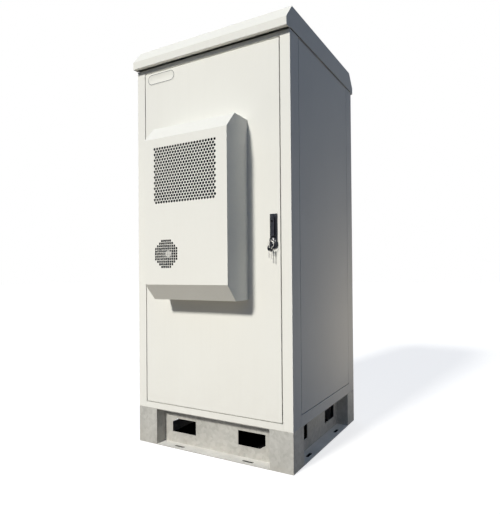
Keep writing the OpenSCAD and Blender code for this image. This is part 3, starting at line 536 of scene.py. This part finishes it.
class Surface(Enum):
    """The finishes of the cabinet."""

    COAT = Finish(
        "powder_coat", (0.80, 0.80, 0.755), (0.785, 0.782, 0.735), (0.46, 0.56),
        grain=Grain.PEEL, grain_scale=700.0, grain_depth=0.00006, dust=0.10,
        worn=(0.9, 0.9, 0.87), wear=0.15, specular=0.02,
    )
    # The plinth's faces that look up are paler, part dust and part painted sheen.
    ZINC = Finish(
        "galvanised_plinth", (0.34, 0.335, 0.31), (0.44, 0.435, 0.405), (0.50, 0.66),
        metallic=0.12, grain=Grain.SPANGLE, grain_scale=75.0, grain_depth=0.00005, grain_tone=0.40,
        tone_scale=11.0, dust=0.22, dust_reach=0.12, worn=(0.70, 0.695, 0.66), wear=0.2,
        specular=0.05, settled=1.0,
    )
    SHEET = Finish(
        "galvanised_sheet", (0.58, 0.59, 0.59), (0.64, 0.65, 0.65), (0.30, 0.42),
        metallic=0.85, grain=Grain.SPANGLE, grain_scale=70.0, grain_depth=0.00003, grain_tone=0.4,
        worn=(0.75, 0.76, 0.76),
    )
    STEEL = Finish(
        "plated_steel", (0.60, 0.61, 0.62), (0.68, 0.66, 0.60), (0.26, 0.38),
        metallic=0.95, grain=Grain.BRUSHED, grain_scale=60.0, grain_depth=0.00002,
        worn=(0.85, 0.85, 0.85), wear=0.4,
    )
    BRIGHT = Finish(
        "polished_lock", (0.82, 0.82, 0.82), (0.76, 0.76, 0.77), (0.10, 0.18),
        metallic=1.0, grain=Grain.BRUSHED, grain_scale=90.0, grain_depth=0.00001,
    )
    BLACK = Finish(
        "black_handle_plastic", (0.010, 0.013, 0.020), (0.014, 0.017, 0.025), (0.34, 0.48),
        grain_scale=1500.0, grain_depth=0.00005, worn=(0.10, 0.10, 0.12), wear=0.5, specular=0.15,
    )
    GLOSS = Finish(
        "black_handle_gloss", (0.014, 0.017, 0.024), (0.020, 0.023, 0.030), (0.20, 0.28),
        grain_scale=1500.0, grain_depth=0.00002, worn=(0.14, 0.14, 0.16), wear=0.4, specular=0.3,
    )
    # Black of the compressor, and of the chassis inside the hood as painted shade.
    ENAMEL_AND_SHADE = Finish(
        "black_enamel_and_painted_shade", (0.016, 0.016, 0.018), (0.022, 0.022, 0.025), (0.22, 0.34),
        grain=Grain.PEEL, grain_scale=500.0, grain_depth=0.00008, worn=(0.12, 0.12, 0.12),
        wear=0.3,
    )
    # Foam of the insulation, also laid inside the hood as painted shade.
    FOAM = Finish(
        "foam_and_painted_shade", (0.055, 0.055, 0.060), (0.075, 0.075, 0.080), (0.80, 0.95),
        grain=Grain.CELLS, grain_scale=420.0, grain_depth=0.0005, grain_tone=0.25,
        worn=(0.11, 0.11, 0.12),
    )
    RUBBER = Finish(
        "seal_rubber", (0.020, 0.020, 0.021), (0.032, 0.032, 0.033), (0.62, 0.78),
        grain_scale=800.0,
    )
    COPPER = Finish(
        "copper_bar", (0.72, 0.36, 0.20), (0.58, 0.27, 0.14), (0.24, 0.42),
        metallic=1.0, grain=Grain.BRUSHED, grain_scale=80.0, grain_depth=0.00003, tone_scale=20.0,
        worn=(0.90, 0.55, 0.38), wear=0.5,
    )
    # The coil's fins are near black with a blue cast as painted shade behind the hood's holes.
    SHADED_FINS = Finish(
        "coil_fins_painted_shade", (0.022, 0.026, 0.036), (0.030, 0.034, 0.044), (0.45, 0.60),
        grain=Grain.BRUSHED, grain_scale=70.0, grain_depth=0.00003, tone_scale=12.0,
        worn=(0.10, 0.10, 0.11), wear=0.3, specular=0.2,
    )
    INSULATOR = Finish(
        "standoff_resin", (0.30, 0.035, 0.022), (0.36, 0.05, 0.03), (0.22, 0.34),
        grain_depth=0.00004, worn=(0.5, 0.15, 0.1), wear=0.4,
    )
    HUB = Finish(
        "fan_hub_face", (0.74, 0.73, 0.70), (0.68, 0.67, 0.64), (0.4, 0.5),
        grain_depth=0.00004, specular=0.2,
    )
    LINE = Finish(
        "plate_border", (0.20, 0.21, 0.22), (0.24, 0.25, 0.26), (0.45, 0.55),
        grain_depth=0.00003, specular=0.2,
    )


CARCASS = (
    "base_tray", "front_post_left", "front_post_right", "rear_post_left", "rear_post_right",
    "top_tray", "side_panel_left", "side_panel_right", "rear_panel", "roof_canopy", "door_panel",
)
PLINTH = (
    "plinth_post_fl", "plinth_post_fr", "plinth_post_rl", "plinth_post_rr",
    "plinth_channel_front", "plinth_channel_rear", "plinth_channel_left", "plinth_channel_right",
)

NODE_SURFACES: dict[Surface, tuple[str, ...]] = {
    Surface.COAT: (*CARCASS, "ac_hood", "ac_inner_cover"),
    Surface.ZINC: PLINTH,
    Surface.SHEET: (
        "gland_plate", "roof_brackets", "rack_members", "rack_rail_fl", "rack_rail_fr",
        "rack_rail_rl", "rack_rail_rr", "door_stiffeners",
    ),
    Surface.STEEL: (
        "plinth_bolts", "hinge_brackets", "hinge_leaves", "rod_keepers", "upper_rod", "lower_rod",
        "key_ring", "spare_keys", "lock_key",
    ),
    Surface.BRIGHT: ("hinge_pins", "lock_cylinder", "lock_plug"),
    Surface.BLACK: (
        "handle_base", "handle_lever", "handle_spindle", "lever_pin", "rod_guides", "fan_frames",
        "outer_fan_rotor", "inner_fan_rotor",
    ),
    # The chassis is black as painted shade inside the hood.
    Surface.ENAMEL_AND_SHADE: ("ac_compressor", "ac_chassis"),
    Surface.FOAM: (
        "insulation_left", "insulation_right", "insulation_rear", "insulation_top",
        "door_insulation",
    ),
    Surface.RUBBER: ("door_seal",),
    Surface.COPPER: ("earth_bar",),
    Surface.SHADED_FINS: ("ac_coils",),
    Surface.INSULATOR: ("earth_standoffs",),
}

SHEET_ROUND, THICK_ROUND, SMALL_ROUND = 0.0009, 0.0012, 0.0004
ROUNDED_EDGES: dict[float, tuple[str, ...]] = {
    SHEET_ROUND: CARCASS,
    THICK_ROUND: (*PLINTH, "door_seal", "handle_base", "handle_lever"),
    SMALL_ROUND: ("lock_cylinder", "lock_plug", "earth_bar", "earth_standoffs"),
}


@dataclass
class Palette:
    """Builds each finish once and hands out its material."""

    effects: Effects
    made: dict[Surface, bpy.types.Material] = field(default_factory=dict)

    def get(self, surface: Surface) -> bpy.types.Material:
        """Hands out a material.

        Args:
            surface: the finish.

        Returns:
            The material of that finish.
        """
        if surface not in self.made:
            self.made[surface] = surface.value.build(self.effects)
        return self.made[surface]

    def dress(self, piece: Piece, surface: Surface) -> None:
        """Gives a piece one finish all over.

        Args:
            piece: object with a mesh.
            surface: the finish.
        """
        piece.data.materials.clear()
        piece.data.materials.append(self.get(surface))
        piece.data.polygons.foreach_set("material_index", [0] * len(piece.data.polygons))


@dataclass
class SolidsDress:
    """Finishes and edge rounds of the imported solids.

    Attributes:
        nodes: the solids by name.
        palette: the finishes.
        hood_front: depth of the hood's front sheet, which holds the walls of its holes.
        hood_skin: depth under the hood's outer faces at which its inside begins.
        facing: least share of Y in the normal of a face that looks forward or back.
        weld_gap: distance at which corners are joined.
        flat_angle: degrees up to which neighbours count as one flat face.
        round_angle: degrees from which an edge is rounded.
        round_segments: strips in a round.
        face_weight: how far large faces set the shading.
    """

    nodes: dict[str, Piece]
    palette: Palette
    hood_front: float = 0.0013
    hood_skin: float = 0.0006
    facing: float = 0.9
    weld_gap: float = 1e-5
    flat_angle: float = 0.5
    round_angle: float = 35.0
    round_segments: int = 2
    face_weight: int = 100

    def dress(self) -> None:
        """Gives every solid its finish.

        Raises:
            ValueError: if a solid has none.
        """
        for surface, names in NODE_SURFACES.items():
            for name in names:
                self.palette.dress(self.nodes[name], surface)
        bare = set(self.nodes) - {name for names in NODE_SURFACES.values() for name in names}
        if bare:
            raise ValueError(f"no finish for {sorted(bare)}")

    def shade_hood_inside(self) -> None:
        """Paints the hood's inside with the dark foam finish as painted shade, and leaves the
        walls of the holes in paint.
        """
        hood = self.nodes["ac_hood"]
        # The inside is dark here as painted shade; the real inside is painted like the outside.
        hood.data.materials.append(self.palette.get(Surface.FOAM))
        corners = [vertex.co for vertex in hood.data.vertices]
        sheet_back = min(corner.y for corner in corners) + self.hood_front
        reach: dict[tuple[float, ...], float] = {}
        for polygon in hood.data.polygons:
            normal, centre = polygon.normal, polygon.center
            way = tuple(round(part, 2) for part in normal)
            if way not in reach:
                reach[way] = max(normal.dot(corner) for corner in corners)
            inside = normal.dot(centre) < reach[way] - self.hood_skin
            if inside and (centre.y > sheet_back or abs(normal.y) > self.facing):
                polygon.material_index = 1

    def round_edges(self) -> None:
        """Rounds the sheet edges with modifiers, so that they catch the light."""
        for width, names in ROUNDED_EDGES.items():
            for name in names:
                self._round(self.nodes[name], width)

    def _round(self, solid: Piece, width: float) -> None:
        """Adds the modifiers that round one solid's edges.

        Args:
            solid: the object.
            width: width of the round in metres.
        """
        weld = solid.modifiers.new("weld", "WELD")
        weld.merge_threshold = self.weld_gap
        # Without whole flat faces, the bevel bends the shading of large panels.
        flat = solid.modifiers.new("flat", "DECIMATE")
        flat.decimate_type = "DISSOLVE"
        flat.angle_limit = math.radians(self.flat_angle)
        bevel = solid.modifiers.new("round", "BEVEL")
        bevel.width = width
        bevel.segments = self.round_segments
        bevel.limit_method = "ANGLE"
        bevel.angle_limit = math.radians(self.round_angle)
        weighted = solid.modifiers.new("normals", "WEIGHTED_NORMAL")
        weighted.weight = self.face_weight
        weighted.keep_sharp = False


class Shapes:
    """Mesh builders for small trim."""

    SMOOTH_ANGLE = 38.0
    SAME_PLACE = 1e-7
    CORNER_STEPS = 8
    QUADRANTS = ((1, 1), (-1, 1), (-1, -1), (1, -1))

    @classmethod
    def finish(cls, name: str, mesh: BMesh, smooth: bool = True) -> Piece:
        """Turns a bmesh into an object of the scene.

        Args:
            name: name of the piece.
            mesh: the bmesh, which is freed.
            smooth: whether faces that meet at a low angle are shaded smooth.

        Returns:
            The new object.
        """
        bmesh.ops.recalc_face_normals(mesh, faces=mesh.faces[:])
        data = bpy.data.meshes.new(name)
        mesh.to_mesh(data)
        mesh.free()
        piece = bpy.data.objects.new(name, data)
        bpy.context.scene.collection.objects.link(piece)
        if smooth:
            data.shade_smooth()
            data.set_sharp_from_angle(angle=math.radians(cls.SMOOTH_ANGLE))
        return piece

    @staticmethod
    def lathe(mesh: BMesh, profile: Sequence[Pair], place: Matrix, steps: int = 24) -> None:
        """Turns a profile about its height.

        Args:
            mesh: bmesh that takes the faces.
            profile: radius and height of each ring, the ends on the axis.
            place: where the turned form goes; its axis is the local Z.
            steps: segments of a turn.
        """
        rings = []
        for radius, height in profile:
            points = [(radius * math.cos(a), radius * math.sin(a), height) for a in turns(steps)]
            if radius <= 0.0:
                points = [(0.0, 0.0, height)]
            rings.append([mesh.verts.new(place @ Vector(point)) for point in points])
        for low, high in zip(rings, rings[1:]):
            for k in range(steps):
                n = (k + 1) % steps
                corners = [low[k % len(low)], low[n % len(low)]]
                corners += [high[n % len(high)], high[k % len(high)]]
                mesh.faces.new(list(dict.fromkeys(corners)))

    @classmethod
    def rounded_rectangle(cls, width: float, height: float, radius: float) -> list[Pair]:
        """Draws a rounded rectangle about the origin.

        Args:
            width: its width.
            height: its height.
            radius: radius of its corners.

        Returns:
            The points of its outline, anticlockwise.
        """
        points = []
        for k, (sx, sy) in enumerate(cls.QUADRANTS):
            centre = (sx * (width / 2 - radius), sy * (height / 2 - radius))
            for i in range(cls.CORNER_STEPS + 1):
                a = math.pi / 2 * (k + i / cls.CORNER_STEPS)
                points.append((centre[0] + radius * math.cos(a), centre[1] + radius * math.sin(a)))
        return points

    @staticmethod
    def loft(mesh: BMesh, rings: Sequence[Sequence[Vector]], capped: bool) -> None:
        """Joins closed rings of equal length into a skin.

        Args:
            mesh: bmesh that takes the faces, strip by strip and then the caps.
            rings: the rings, in order.
            capped: whether the first and the last ring get a face.
        """
        made = [[mesh.verts.new(p) for p in ring] for ring in rings]
        count = len(made[0])
        for low, high in zip(made, made[1:]):
            for k in range(count):
                n = (k + 1) % count
                mesh.faces.new((low[k], low[n], high[n], high[k]))
        if capped:
            mesh.faces.new(made[0])
            mesh.faces.new(made[-1])

    @classmethod
    def loop(cls, mesh: BMesh, rings: Sequence[Sequence[Vector]]) -> None:
        """Joins closed rings into a skin that comes back to its first ring.

        Args:
            mesh: bmesh that takes the faces.
            rings: the rings, in order.
        """
        cls.loft(mesh, [*rings, rings[0]], capped=False)
        bmesh.ops.remove_doubles(mesh, verts=mesh.verts[:], dist=cls.SAME_PLACE)


@dataclass
class BarePlate:
    """Bare plate at the top left of the door, with a raised rim and two rivets.

    The rim's section is in shares of its width and of the plate's thickness, the rivet's head in
    shares of its radius and height, the corner in a share of the plate's height. The strip with
    the number rim_top is the flat top of the rim.
    """

    palette: Palette
    centre: Pair = (-0.240, 1.607)
    width: float = 0.146
    height: float = 0.046
    thickness: float = 0.0012
    corner: float = 0.46
    rim: float = 0.0050
    rim_section: Profile = ((0.0, 0.0), (0.0, 0.8), (0.25, 1.0), (0.75, 1.0), (1.0, 0.55))
    rim_top: int = 2
    rivet: float = 0.0021
    rivet_height: float = 0.0011
    rivet_inset: float = 0.009
    rivet_seat: float = 0.5
    rivet_steps: int = 16
    rivet_head: Profile = (
        (0.0, 1.3), (0.5, 1.2), (0.9, 0.75), (1.0, 0.45), (1.0, 0.0), (0.0, 0.0),
    )

    def build(self, face: float) -> Piece:
        """Makes the plate on the door.

        Args:
            face: Y of the door's front face.

        Returns:
            The plate.
        """
        x, z = self.centre
        mesh = bmesh.new()
        rings = []
        for inset, rise in self.rim_section:
            step = inset * self.rim
            outline = Shapes.rounded_rectangle(
                self.width - 2 * step, self.height - 2 * step, self.height * self.corner - step
            )
            y = face - rise * self.thickness
            rings.append([Vector((x + u, y, z + v)) for u, v in outline])
        Shapes.loft(mesh, rings, capped=True)
        head = [(r * self.rivet, h * self.rivet_height) for r, h in self.rivet_head]
        seat = face - self.rivet_seat * self.thickness
        for side in (-1, 1):
            seat_x = x + side * (self.width / 2 - self.rivet_inset)
            place = Matrix.Translation((seat_x, seat, z)) @ Matrix.Rotation(math.pi / 2, 4, "X")
            Shapes.lathe(mesh, head, place, self.rivet_steps)
        plate = Shapes.finish("bare_name_plate", mesh)
        self.palette.dress(plate, Surface.COAT)
        plate.data.materials.append(self.palette.get(Surface.LINE))
        around = len(rings[0])
        for polygon in plate.data.polygons[self.rim_top * around:(self.rim_top + 1) * around]:
            polygon.material_index = 1
        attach(plate, "door")
        return plate


@dataclass
class KeySet:
    """Plastic heads of the key in the lock and of the two keys that hang on its ring.

    The shoulder is a point of the rounded edge, in shares of the edge's size.
    """

    palette: Palette
    lock: Triple = (0.303, -0.400, 0.869)
    lock_hole: Pair = (-0.004, 0.0)
    spares: tuple[Triple, ...] = ((0.29497, -0.404, 0.84043), (0.30508, -0.404, 0.83644))
    spare_hole: Pair = (0.0, 0.0045)
    lock_radius: float = 0.0122
    spare_radius: float = 0.0102
    hole_radius: float = 0.0042
    half_thickness: float = 0.0018
    edge: float = 0.0008
    shoulder: Pair = (0.4, 0.3)
    steps: int = 36

    def _head(self, mesh: BMesh, centre: Triple, hole: Pair, radius: float) -> None:
        """Adds one head: a rounded disc with a hole off its middle.

        Args:
            mesh: bmesh that takes the faces.
            centre: middle of the disc.
            hole: offset of the hole in Y and Z.
            radius: radius of the disc.
        """
        t, edge = self.half_thickness, self.edge
        along, down = edge * self.shoulder[0], edge * self.shoulder[1]
        outer = ((-t, edge), (-t + along, down), (0.0, 0.0), (t - along, down), (t, edge))
        inner = ((t, -edge), (t - edge, 0.0), (-t + edge, 0.0), (-t, -edge))
        rings = [self._ring(centre, (0.0, 0.0), x, radius - inset) for x, inset in outer]
        rings += [self._ring(centre, hole, x, self.hole_radius - inset) for x, inset in inner]
        Shapes.loop(mesh, rings)

    def _ring(self, centre: Triple, shift: Pair, x: float, radius: float) -> list[Vector]:
        """Draws a circle in a plane of constant X.

        Args:
            centre: middle of the head.
            shift: offset of the circle in Y and Z.
            x: offset of the plane.
            radius: radius of the circle.

        Returns:
            The points of the circle.
        """
        middle = Vector(centre) + Vector((x, *shift))
        return [
            middle + Vector((0.0, radius * math.cos(a), radius * math.sin(a)))
            for a in turns(self.steps)
        ]

    def build(self) -> list[Piece]:
        """Makes the heads.

        Returns:
            The head of the key in the lock, and those of the other keys as one piece.
        """
        lock_mesh = bmesh.new()
        self._head(lock_mesh, self.lock, self.lock_hole, self.lock_radius)
        lock_head = Shapes.finish("lock_key_head", lock_mesh)
        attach(lock_head, "lock_plug")
        spare_mesh = bmesh.new()
        for centre in self.spares:
            self._head(spare_mesh, centre, self.spare_hole, self.spare_radius)
        spare_heads = Shapes.finish("spare_key_heads", spare_mesh)
        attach(spare_heads, "key_ring")
        for piece in (lock_head, spare_heads):
            self.palette.dress(piece, Surface.BLACK)
        return [lock_head, spare_heads]


@dataclass
class HandleTrim:
    """Bead round the lever on the handle base, and a rib down the lever.

    The section is in shares of a ridge's width and height, and its first section_to_top points
    lead over its top. The corner is a share of the width.
    """

    palette: Palette
    x: float = 0.303
    corner: float = 0.42
    bead_z: Pair = (0.8835, 0.9665)
    bead_width: float = 0.0224
    bead: Pair = (0.0016, 0.0004)
    lever_gap: float = 0.0005
    lever_thickness: float = 0.010
    rib_z: Pair = (0.903, 0.941)
    rib_width: float = 0.0052
    rib: Pair = (0.0018, 0.0008)
    section: Profile = (
        (0.0, -0.2), (0.0, 0.4), (0.15, 0.8), (0.4, 1.0),
        (0.6, 1.0), (0.85, 0.8), (1.0, 0.4), (1.0, -0.2),
    )
    section_to_top: int = 5

    def _ridge(
        self, name: str, ends: Pair, width: float, size: Pair, face: float, filled: bool
    ) -> Piece:
        """Makes a rounded ridge along a rounded rectangle.

        Args:
            name: name of the piece.
            ends: lowest and highest Z.
            width: width of the rectangle.
            size: width and height of the ridge.
            face: Y of the face that it stands on.
            filled: whether the rectangle's inside is closed at the ridge's top.

        Returns:
            The piece.
        """
        mesh = bmesh.new()
        middle = (ends[0] + ends[1]) / 2
        rings = []
        for inset, rise in self.section[:self.section_to_top] if filled else self.section:
            step = inset * size[0]
            outline = Shapes.rounded_rectangle(
                width - 2 * step, ends[1] - ends[0] - 2 * step, width * self.corner - step
            )
            y = face - rise * size[1]
            rings.append([Vector((self.x + u, y, middle + v)) for u, v in outline])
        if filled:
            Shapes.loft(mesh, rings, capped=True)
        else:
            Shapes.loop(mesh, rings)
        piece = Shapes.finish(name, mesh)
        self.palette.dress(piece, Surface.GLOSS)
        return piece

    def build(self) -> list[Piece]:
        """Makes the bead and the rib.

        Returns:
            The two pieces.
        """
        base_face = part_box("handle_base")[0].y
        lever_face = base_face - self.lever_gap - self.lever_thickness
        bead = self._ridge(
            "handle_bead", self.bead_z, self.bead_width, self.bead, base_face, filled=False
        )
        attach(bead, "door")
        rib = self._ridge(
            "lever_rib", self.rib_z, self.rib_width, self.rib, lever_face, filled=True
        )
        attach(rib, "handle_lever")
        return [bead, rib]


@dataclass
class Fasteners:
    """Screws of the inner cover and hinge leaves, terminals of the earth bar, caps of the fans.

    A profile gives the radius and height of each ring.
    """

    palette: Palette
    screw: Profile = (
        (0.0, 0.0007), (0.0011, 0.0007), (0.0012, 0.0021), (0.0019, 0.0024), (0.0031, 0.0019),
        (0.0039, 0.0009), (0.0041, 0.0), (0.0, 0.0),
    )
    bolt: Profile = (
        (0.0, 0.0044), (0.0042, 0.0044), (0.0052, 0.0038), (0.0052, 0.0006), (0.0, 0.0006),
    )
    bolt_sides: int = 6
    washer: Profile = (
        (0.0, 0.0012), (0.0068, 0.0012), (0.0073, 0.0009), (0.0073, 0.0), (0.0, 0.0),
    )
    cap: Profile = (
        (0.0, 0.0012), (0.0105, 0.0012), (0.0128, 0.0009), (0.0140, 0.0), (0.0, 0.0),
    )
    cap_steps: int = 32
    cover_inset: float = 0.012
    cover_rows: int = 4
    door_sheet: float = 0.002
    hinge_half: float = 0.036
    hinge_inset: float = 0.009
    hinge_reach: float = 0.022
    terminals: int = 8
    terminal_pitch: float = 0.024

    @staticmethod
    def _at(point: Sequence[float], way: Triple) -> Matrix:
        """Returns the place of a fastener whose head points a given way."""
        turn = Vector(way).to_track_quat("Z", "Y").to_matrix().to_4x4()
        return Matrix.Translation(point) @ turn

    def _keep(self, name: str, mesh: BMesh, body: str, surface: Surface) -> Piece:
        """Turns a bmesh of fasteners into a dressed piece on a body.

        Args:
            name: name of the piece.
            mesh: the bmesh.
            body: body that it moves with.
            surface: its finish.

        Returns:
            The piece.
        """
        piece = Shapes.finish(name, mesh)
        self.palette.dress(piece, surface)
        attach(piece, body)
        return piece

    def cover_screws(self) -> Piece:
        """Makes the screws round the back of the inner cover.

        Returns:
            The screws as one piece.
        """
        low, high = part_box("ac_inner_cover")
        inset, gaps = self.cover_inset, self.cover_rows - 1
        mesh = bmesh.new()
        for x in (low.x + inset, high.x - inset):
            for k in range(self.cover_rows):
                z = low.z + inset + (high.z - low.z - 2 * inset) * k / gaps
                Shapes.lathe(mesh, self.screw, self._at((x, high.y, z), TO_BACK))
        return self._keep("inner_cover_screws", mesh, "door", Surface.STEEL)

    def hinge_screws(self) -> Piece:
        """Makes two screws on each hinge leaf.

        Returns:
            The screws as one piece.
        """
        low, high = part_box("hinge_leaves")
        x, y = high.x - self.hinge_inset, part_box("door_panel")[0].y + 2 * self.door_sheet
        mesh = bmesh.new()
        for middle in (low.z + self.hinge_half, (low.z + high.z) / 2, high.z - self.hinge_half):
            for side in (-1, 1):
                z = middle + side * self.hinge_reach
                Shapes.lathe(mesh, self.screw, self._at((x, y, z), TO_BACK))
        return self._keep("hinge_screws", mesh, "door", Surface.STEEL)

    def earth_terminals(self) -> Piece:
        """Makes a bolt with a washer over each hole of the earth bar.

        Returns:
            The terminals as one piece.
        """
        low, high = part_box("earth_bar")
        mesh = bmesh.new()
        for k in range(self.terminals):
            x = (k - (self.terminals - 1) / 2) * self.terminal_pitch
            place = self._at((x, (low.y + high.y) / 2, high.z), UP)
            Shapes.lathe(mesh, self.washer, place)
            Shapes.lathe(mesh, self.bolt, place, self.bolt_sides)
        return self._keep("earth_terminals", mesh, "cabinet", Surface.STEEL)

    def fan_caps(self) -> list[Piece]:
        """Makes the pale caps on the hubs of both fans.

        Returns:
            The caps.
        """
        made = []
        for fan, way in (("outer_fan", TO_FRONT), ("inner_fan", TO_BACK)):
            low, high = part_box(fan + "_rotor")
            face = low.y if way is TO_FRONT else high.y
            centre = ((low.x + high.x) / 2, face, (low.z + high.z) / 2)
            mesh = bmesh.new()
            Shapes.lathe(mesh, self.cap, self._at(centre, way), self.cap_steps)
            made.append(self._keep(fan + "_cap", mesh, fan, Surface.HUB))
        return made

    def build(self) -> list[Piece]:
        """Makes all the fasteners and returns them."""
        return [
            self.cover_screws(), self.hinge_screws(), self.earth_terminals(), *self.fan_caps(),
        ]


@dataclass(frozen=True)
class Lamp:
    """A lamp: how its light travels, its strength and its colour."""

    name: str
    way: Triple
    strength: float
    colour: Colour

    def _hang(self, kind: str) -> Piece:
        """Hangs the lamp in the scene.

        Args:
            kind: Blender's name of its type.

        Returns:
            The lamp's object.
        """
        data = bpy.data.lights.new(self.name, kind)
        data.energy, data.color = self.strength, self.colour
        lamp = bpy.data.objects.new(self.name, data)
        lamp.rotation_euler = Vector(self.way).to_track_quat("-Z", "Y").to_euler()
        bpy.context.scene.collection.objects.link(lamp)
        return lamp


@dataclass(frozen=True)
class Sun(Lamp):
    """A distant lamp, which looks as wide as its angle in degrees."""

    angle: float

    def build(self) -> None:
        """Makes the lamp."""
        self._hang("SUN").data.angle = math.radians(self.angle)


@dataclass(frozen=True)
class Panel(Lamp):
    """A flat lamp with a place and two sides in metres, which the camera doesn't see."""

    place: Triple
    sides: Pair

    def build(self) -> None:
        """Makes the lamp."""
        lamp = self._hang("AREA")
        lamp.data.shape = "RECTANGLE"
        lamp.data.size, lamp.data.size_y = self.sides
        lamp.location = self.place
        lamp.visible_camera = False


@dataclass
class Studio:
    """Camera of the photograph, pale floor, soft light and white background.

    The lamps are a key light, a weak one from behind, and two low ones like light off warm ground.
    The floor throws back light in one colour, and shows another with a glow where it is seen.
    """

    eye: Triple = (1.0890, -1.9840, 0.7497)
    yaw: float = 30.626
    pitch: float = 0.584
    roll: float = -0.448
    lens: float = 33.081
    sensor: float = 36.0
    shift: Pair = (0.0263, 0.0212)
    clip: Pair = (0.05, 100.0)
    lamps: tuple[Sun | Panel, ...] = (
        Sun("key", (0.166, 1.0, -0.63), 3.35, (1.0, 0.97, 0.905), angle=7.0),
        Sun("back_fill", (0.55, -1.0, -0.70), 0.6, (0.95, 0.97, 1.0), angle=60.0),
        Panel(
            "side_bounce", (-0.6, -0.07, 1.0), 2.6, WARM,
            place=(1.05, 0.55, 0.25), sides=(1.1, 0.3),
        ),
        Panel(
            "front_bounce", (0.0, 0.5, 1.0), 3.6, WARM,
            place=(-0.1, -1.3, 0.03), sides=(1.6, 1.0),
        ),
    )
    sky: Colour = (0.33, 0.56, 1.0)
    sky_strength: float = 0.20
    grid: int = 4
    floor_half: float = 30.0
    floor_colour: Colour = (0.12, 0.11, 0.095)
    floor_seen: Colour = (0.40, 0.40, 0.40)
    floor_glow: float = 0.76
    # The dark square inside the plinth is painted shade.
    plinth_shade_half: float = 0.372
    plinth_shade_lift: float = 0.0004
    plinth_shade_colour: Colour = (0.012, 0.012, 0.013)

    def camera(self) -> None:
        """Makes the camera."""
        data = bpy.data.cameras.new("camera")
        data.lens = self.lens
        data.sensor_width = self.sensor
        data.shift_x, data.shift_y = self.shift
        data.clip_start, data.clip_end = self.clip
        camera = bpy.data.objects.new("camera", data)
        # A camera that isn't turned looks straight down, so 90 degrees make it level.
        turn = (
            Matrix.Rotation(math.radians(self.yaw), 4, "Z")
            @ Matrix.Rotation(math.radians(90.0 + self.pitch), 4, "X")
            @ Matrix.Rotation(math.radians(self.roll), 4, "Z")
        )
        camera.matrix_world = Matrix.Translation(self.eye) @ turn
        bpy.context.scene.collection.objects.link(camera)
        bpy.context.scene.camera = camera

    @staticmethod
    def _where_seen(sketch: Sketch, other: bpy.types.Node, seen: bpy.types.Node) -> Socket:
        """Shows one shader to camera, glossy and transmission rays, and another to the rest.

        Args:
            sketch: the tree.
            other: shader for the rest of the rays.
            seen: shader for the rays that see it.

        Returns:
            The mixed shader socket.
        """
        path = sketch.add("ShaderNodeLightPath").outputs
        shiny = sketch.math("MAXIMUM", path["Is Glossy Ray"], path["Is Transmission Ray"])
        sight = sketch.math("MAXIMUM", path["Is Camera Ray"], shiny)
        inputs = {0: sight, 1: other.outputs[0], 2: seen.outputs[0]}
        return sketch.add("ShaderNodeMixShader", inputs).outputs[0]

    def world(self) -> None:
        """Makes the world: soft sky light, white where it is seen."""
        world = bpy.data.worlds.new("studio")
        sketch = Sketch.blank(world)
        light = {"Color": rgba(self.sky), "Strength": self.sky_strength}
        sky = sketch.add("ShaderNodeBackground", light)
        white = sketch.add("ShaderNodeBackground", {"Color": rgba(WHITE), "Strength": 1.0})
        surface = self._where_seen(sketch, sky, white)
        sketch.add("ShaderNodeOutputWorld", {"Surface": surface})
        bpy.context.scene.world = world

    def _ground(self, name: str, half: float) -> Piece:
        """Makes a flat square about the origin.

        Args:
            name: its name.
            half: half its side in metres.

        Returns:
            The square.
        """
        mesh = bmesh.new()
        bmesh.ops.create_grid(mesh, x_segments=self.grid, y_segments=self.grid, size=half)
        return Shapes.finish(name, mesh, smooth=False)

    def floor(self) -> None:
        """Makes the pale floor, which stays white where it is seen and keeps the shadow."""
        floor = self._ground("floor", self.floor_half)
        material = bpy.data.materials.new("studio_floor")
        sketch = Sketch.blank(material)
        plain = sketch.add("ShaderNodeBsdfDiffuse", {"Color": rgba(self.floor_colour)})
        shade = sketch.add("ShaderNodeBsdfDiffuse", {"Color": rgba(self.floor_seen)})
        light = {"Color": rgba(WHITE), "Strength": self.floor_glow}
        glow = sketch.add("ShaderNodeEmission", light)
        seen = sketch.add("ShaderNodeAddShader", {0: shade.outputs[0], 1: glow.outputs[0]})
        surface = self._where_seen(sketch, plain, seen)
        sketch.add("ShaderNodeOutputMaterial", {"Surface": surface})
        floor.data.materials.append(material)

    def plinth_shade(self) -> None:
        """Makes a dark square on the ground inside the plinth, painted shade that makes the
        plinth's openings look black.
        """
        plinth_shade = self._ground("painted_plinth_shade", self.plinth_shade_half)
        plinth_shade.location.z = self.plinth_shade_lift
        material = bpy.data.materials.new("painted_plinth_shade")
        sketch = Sketch.blank(material)
        dark = sketch.add("ShaderNodeBsdfDiffuse", {"Color": rgba(self.plinth_shade_colour)})
        sketch.add("ShaderNodeOutputMaterial", {"Surface": dark.outputs[0]})
        plinth_shade.data.materials.append(material)

    def build(self) -> None:
        """Sets up the whole studio."""
        bpy.context.scene.view_settings.view_transform = "Standard"
        self.camera()
        for lamp in self.lamps:
            lamp.build()
        self.world()
        self.floor()
        self.plinth_shade()


def main() -> None:
    """Loads the solids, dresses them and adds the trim."""
    logging.basicConfig(level=logging.INFO, format="%(name)s: %(message)s")
    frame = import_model()
    Studio().build()
    palette = Palette(Effects())
    solids = SolidsDress(frame["nodes"], palette)
    solids.dress()
    solids.shade_hood_inside()
    solids.round_edges()
    door_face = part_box("door_panel")[0].y
    trim = [BarePlate(palette).build(door_face)]
    for group in (KeySet(palette), HandleTrim(palette), Fasteners(palette)):
        trim += group.build()
    for piece in trim:
        LOG.info("made %s with %d faces", piece.name, len(piece.data.polygons))
    bpy.context.view_layer.update()


if __name__ == "__main__":
    main()
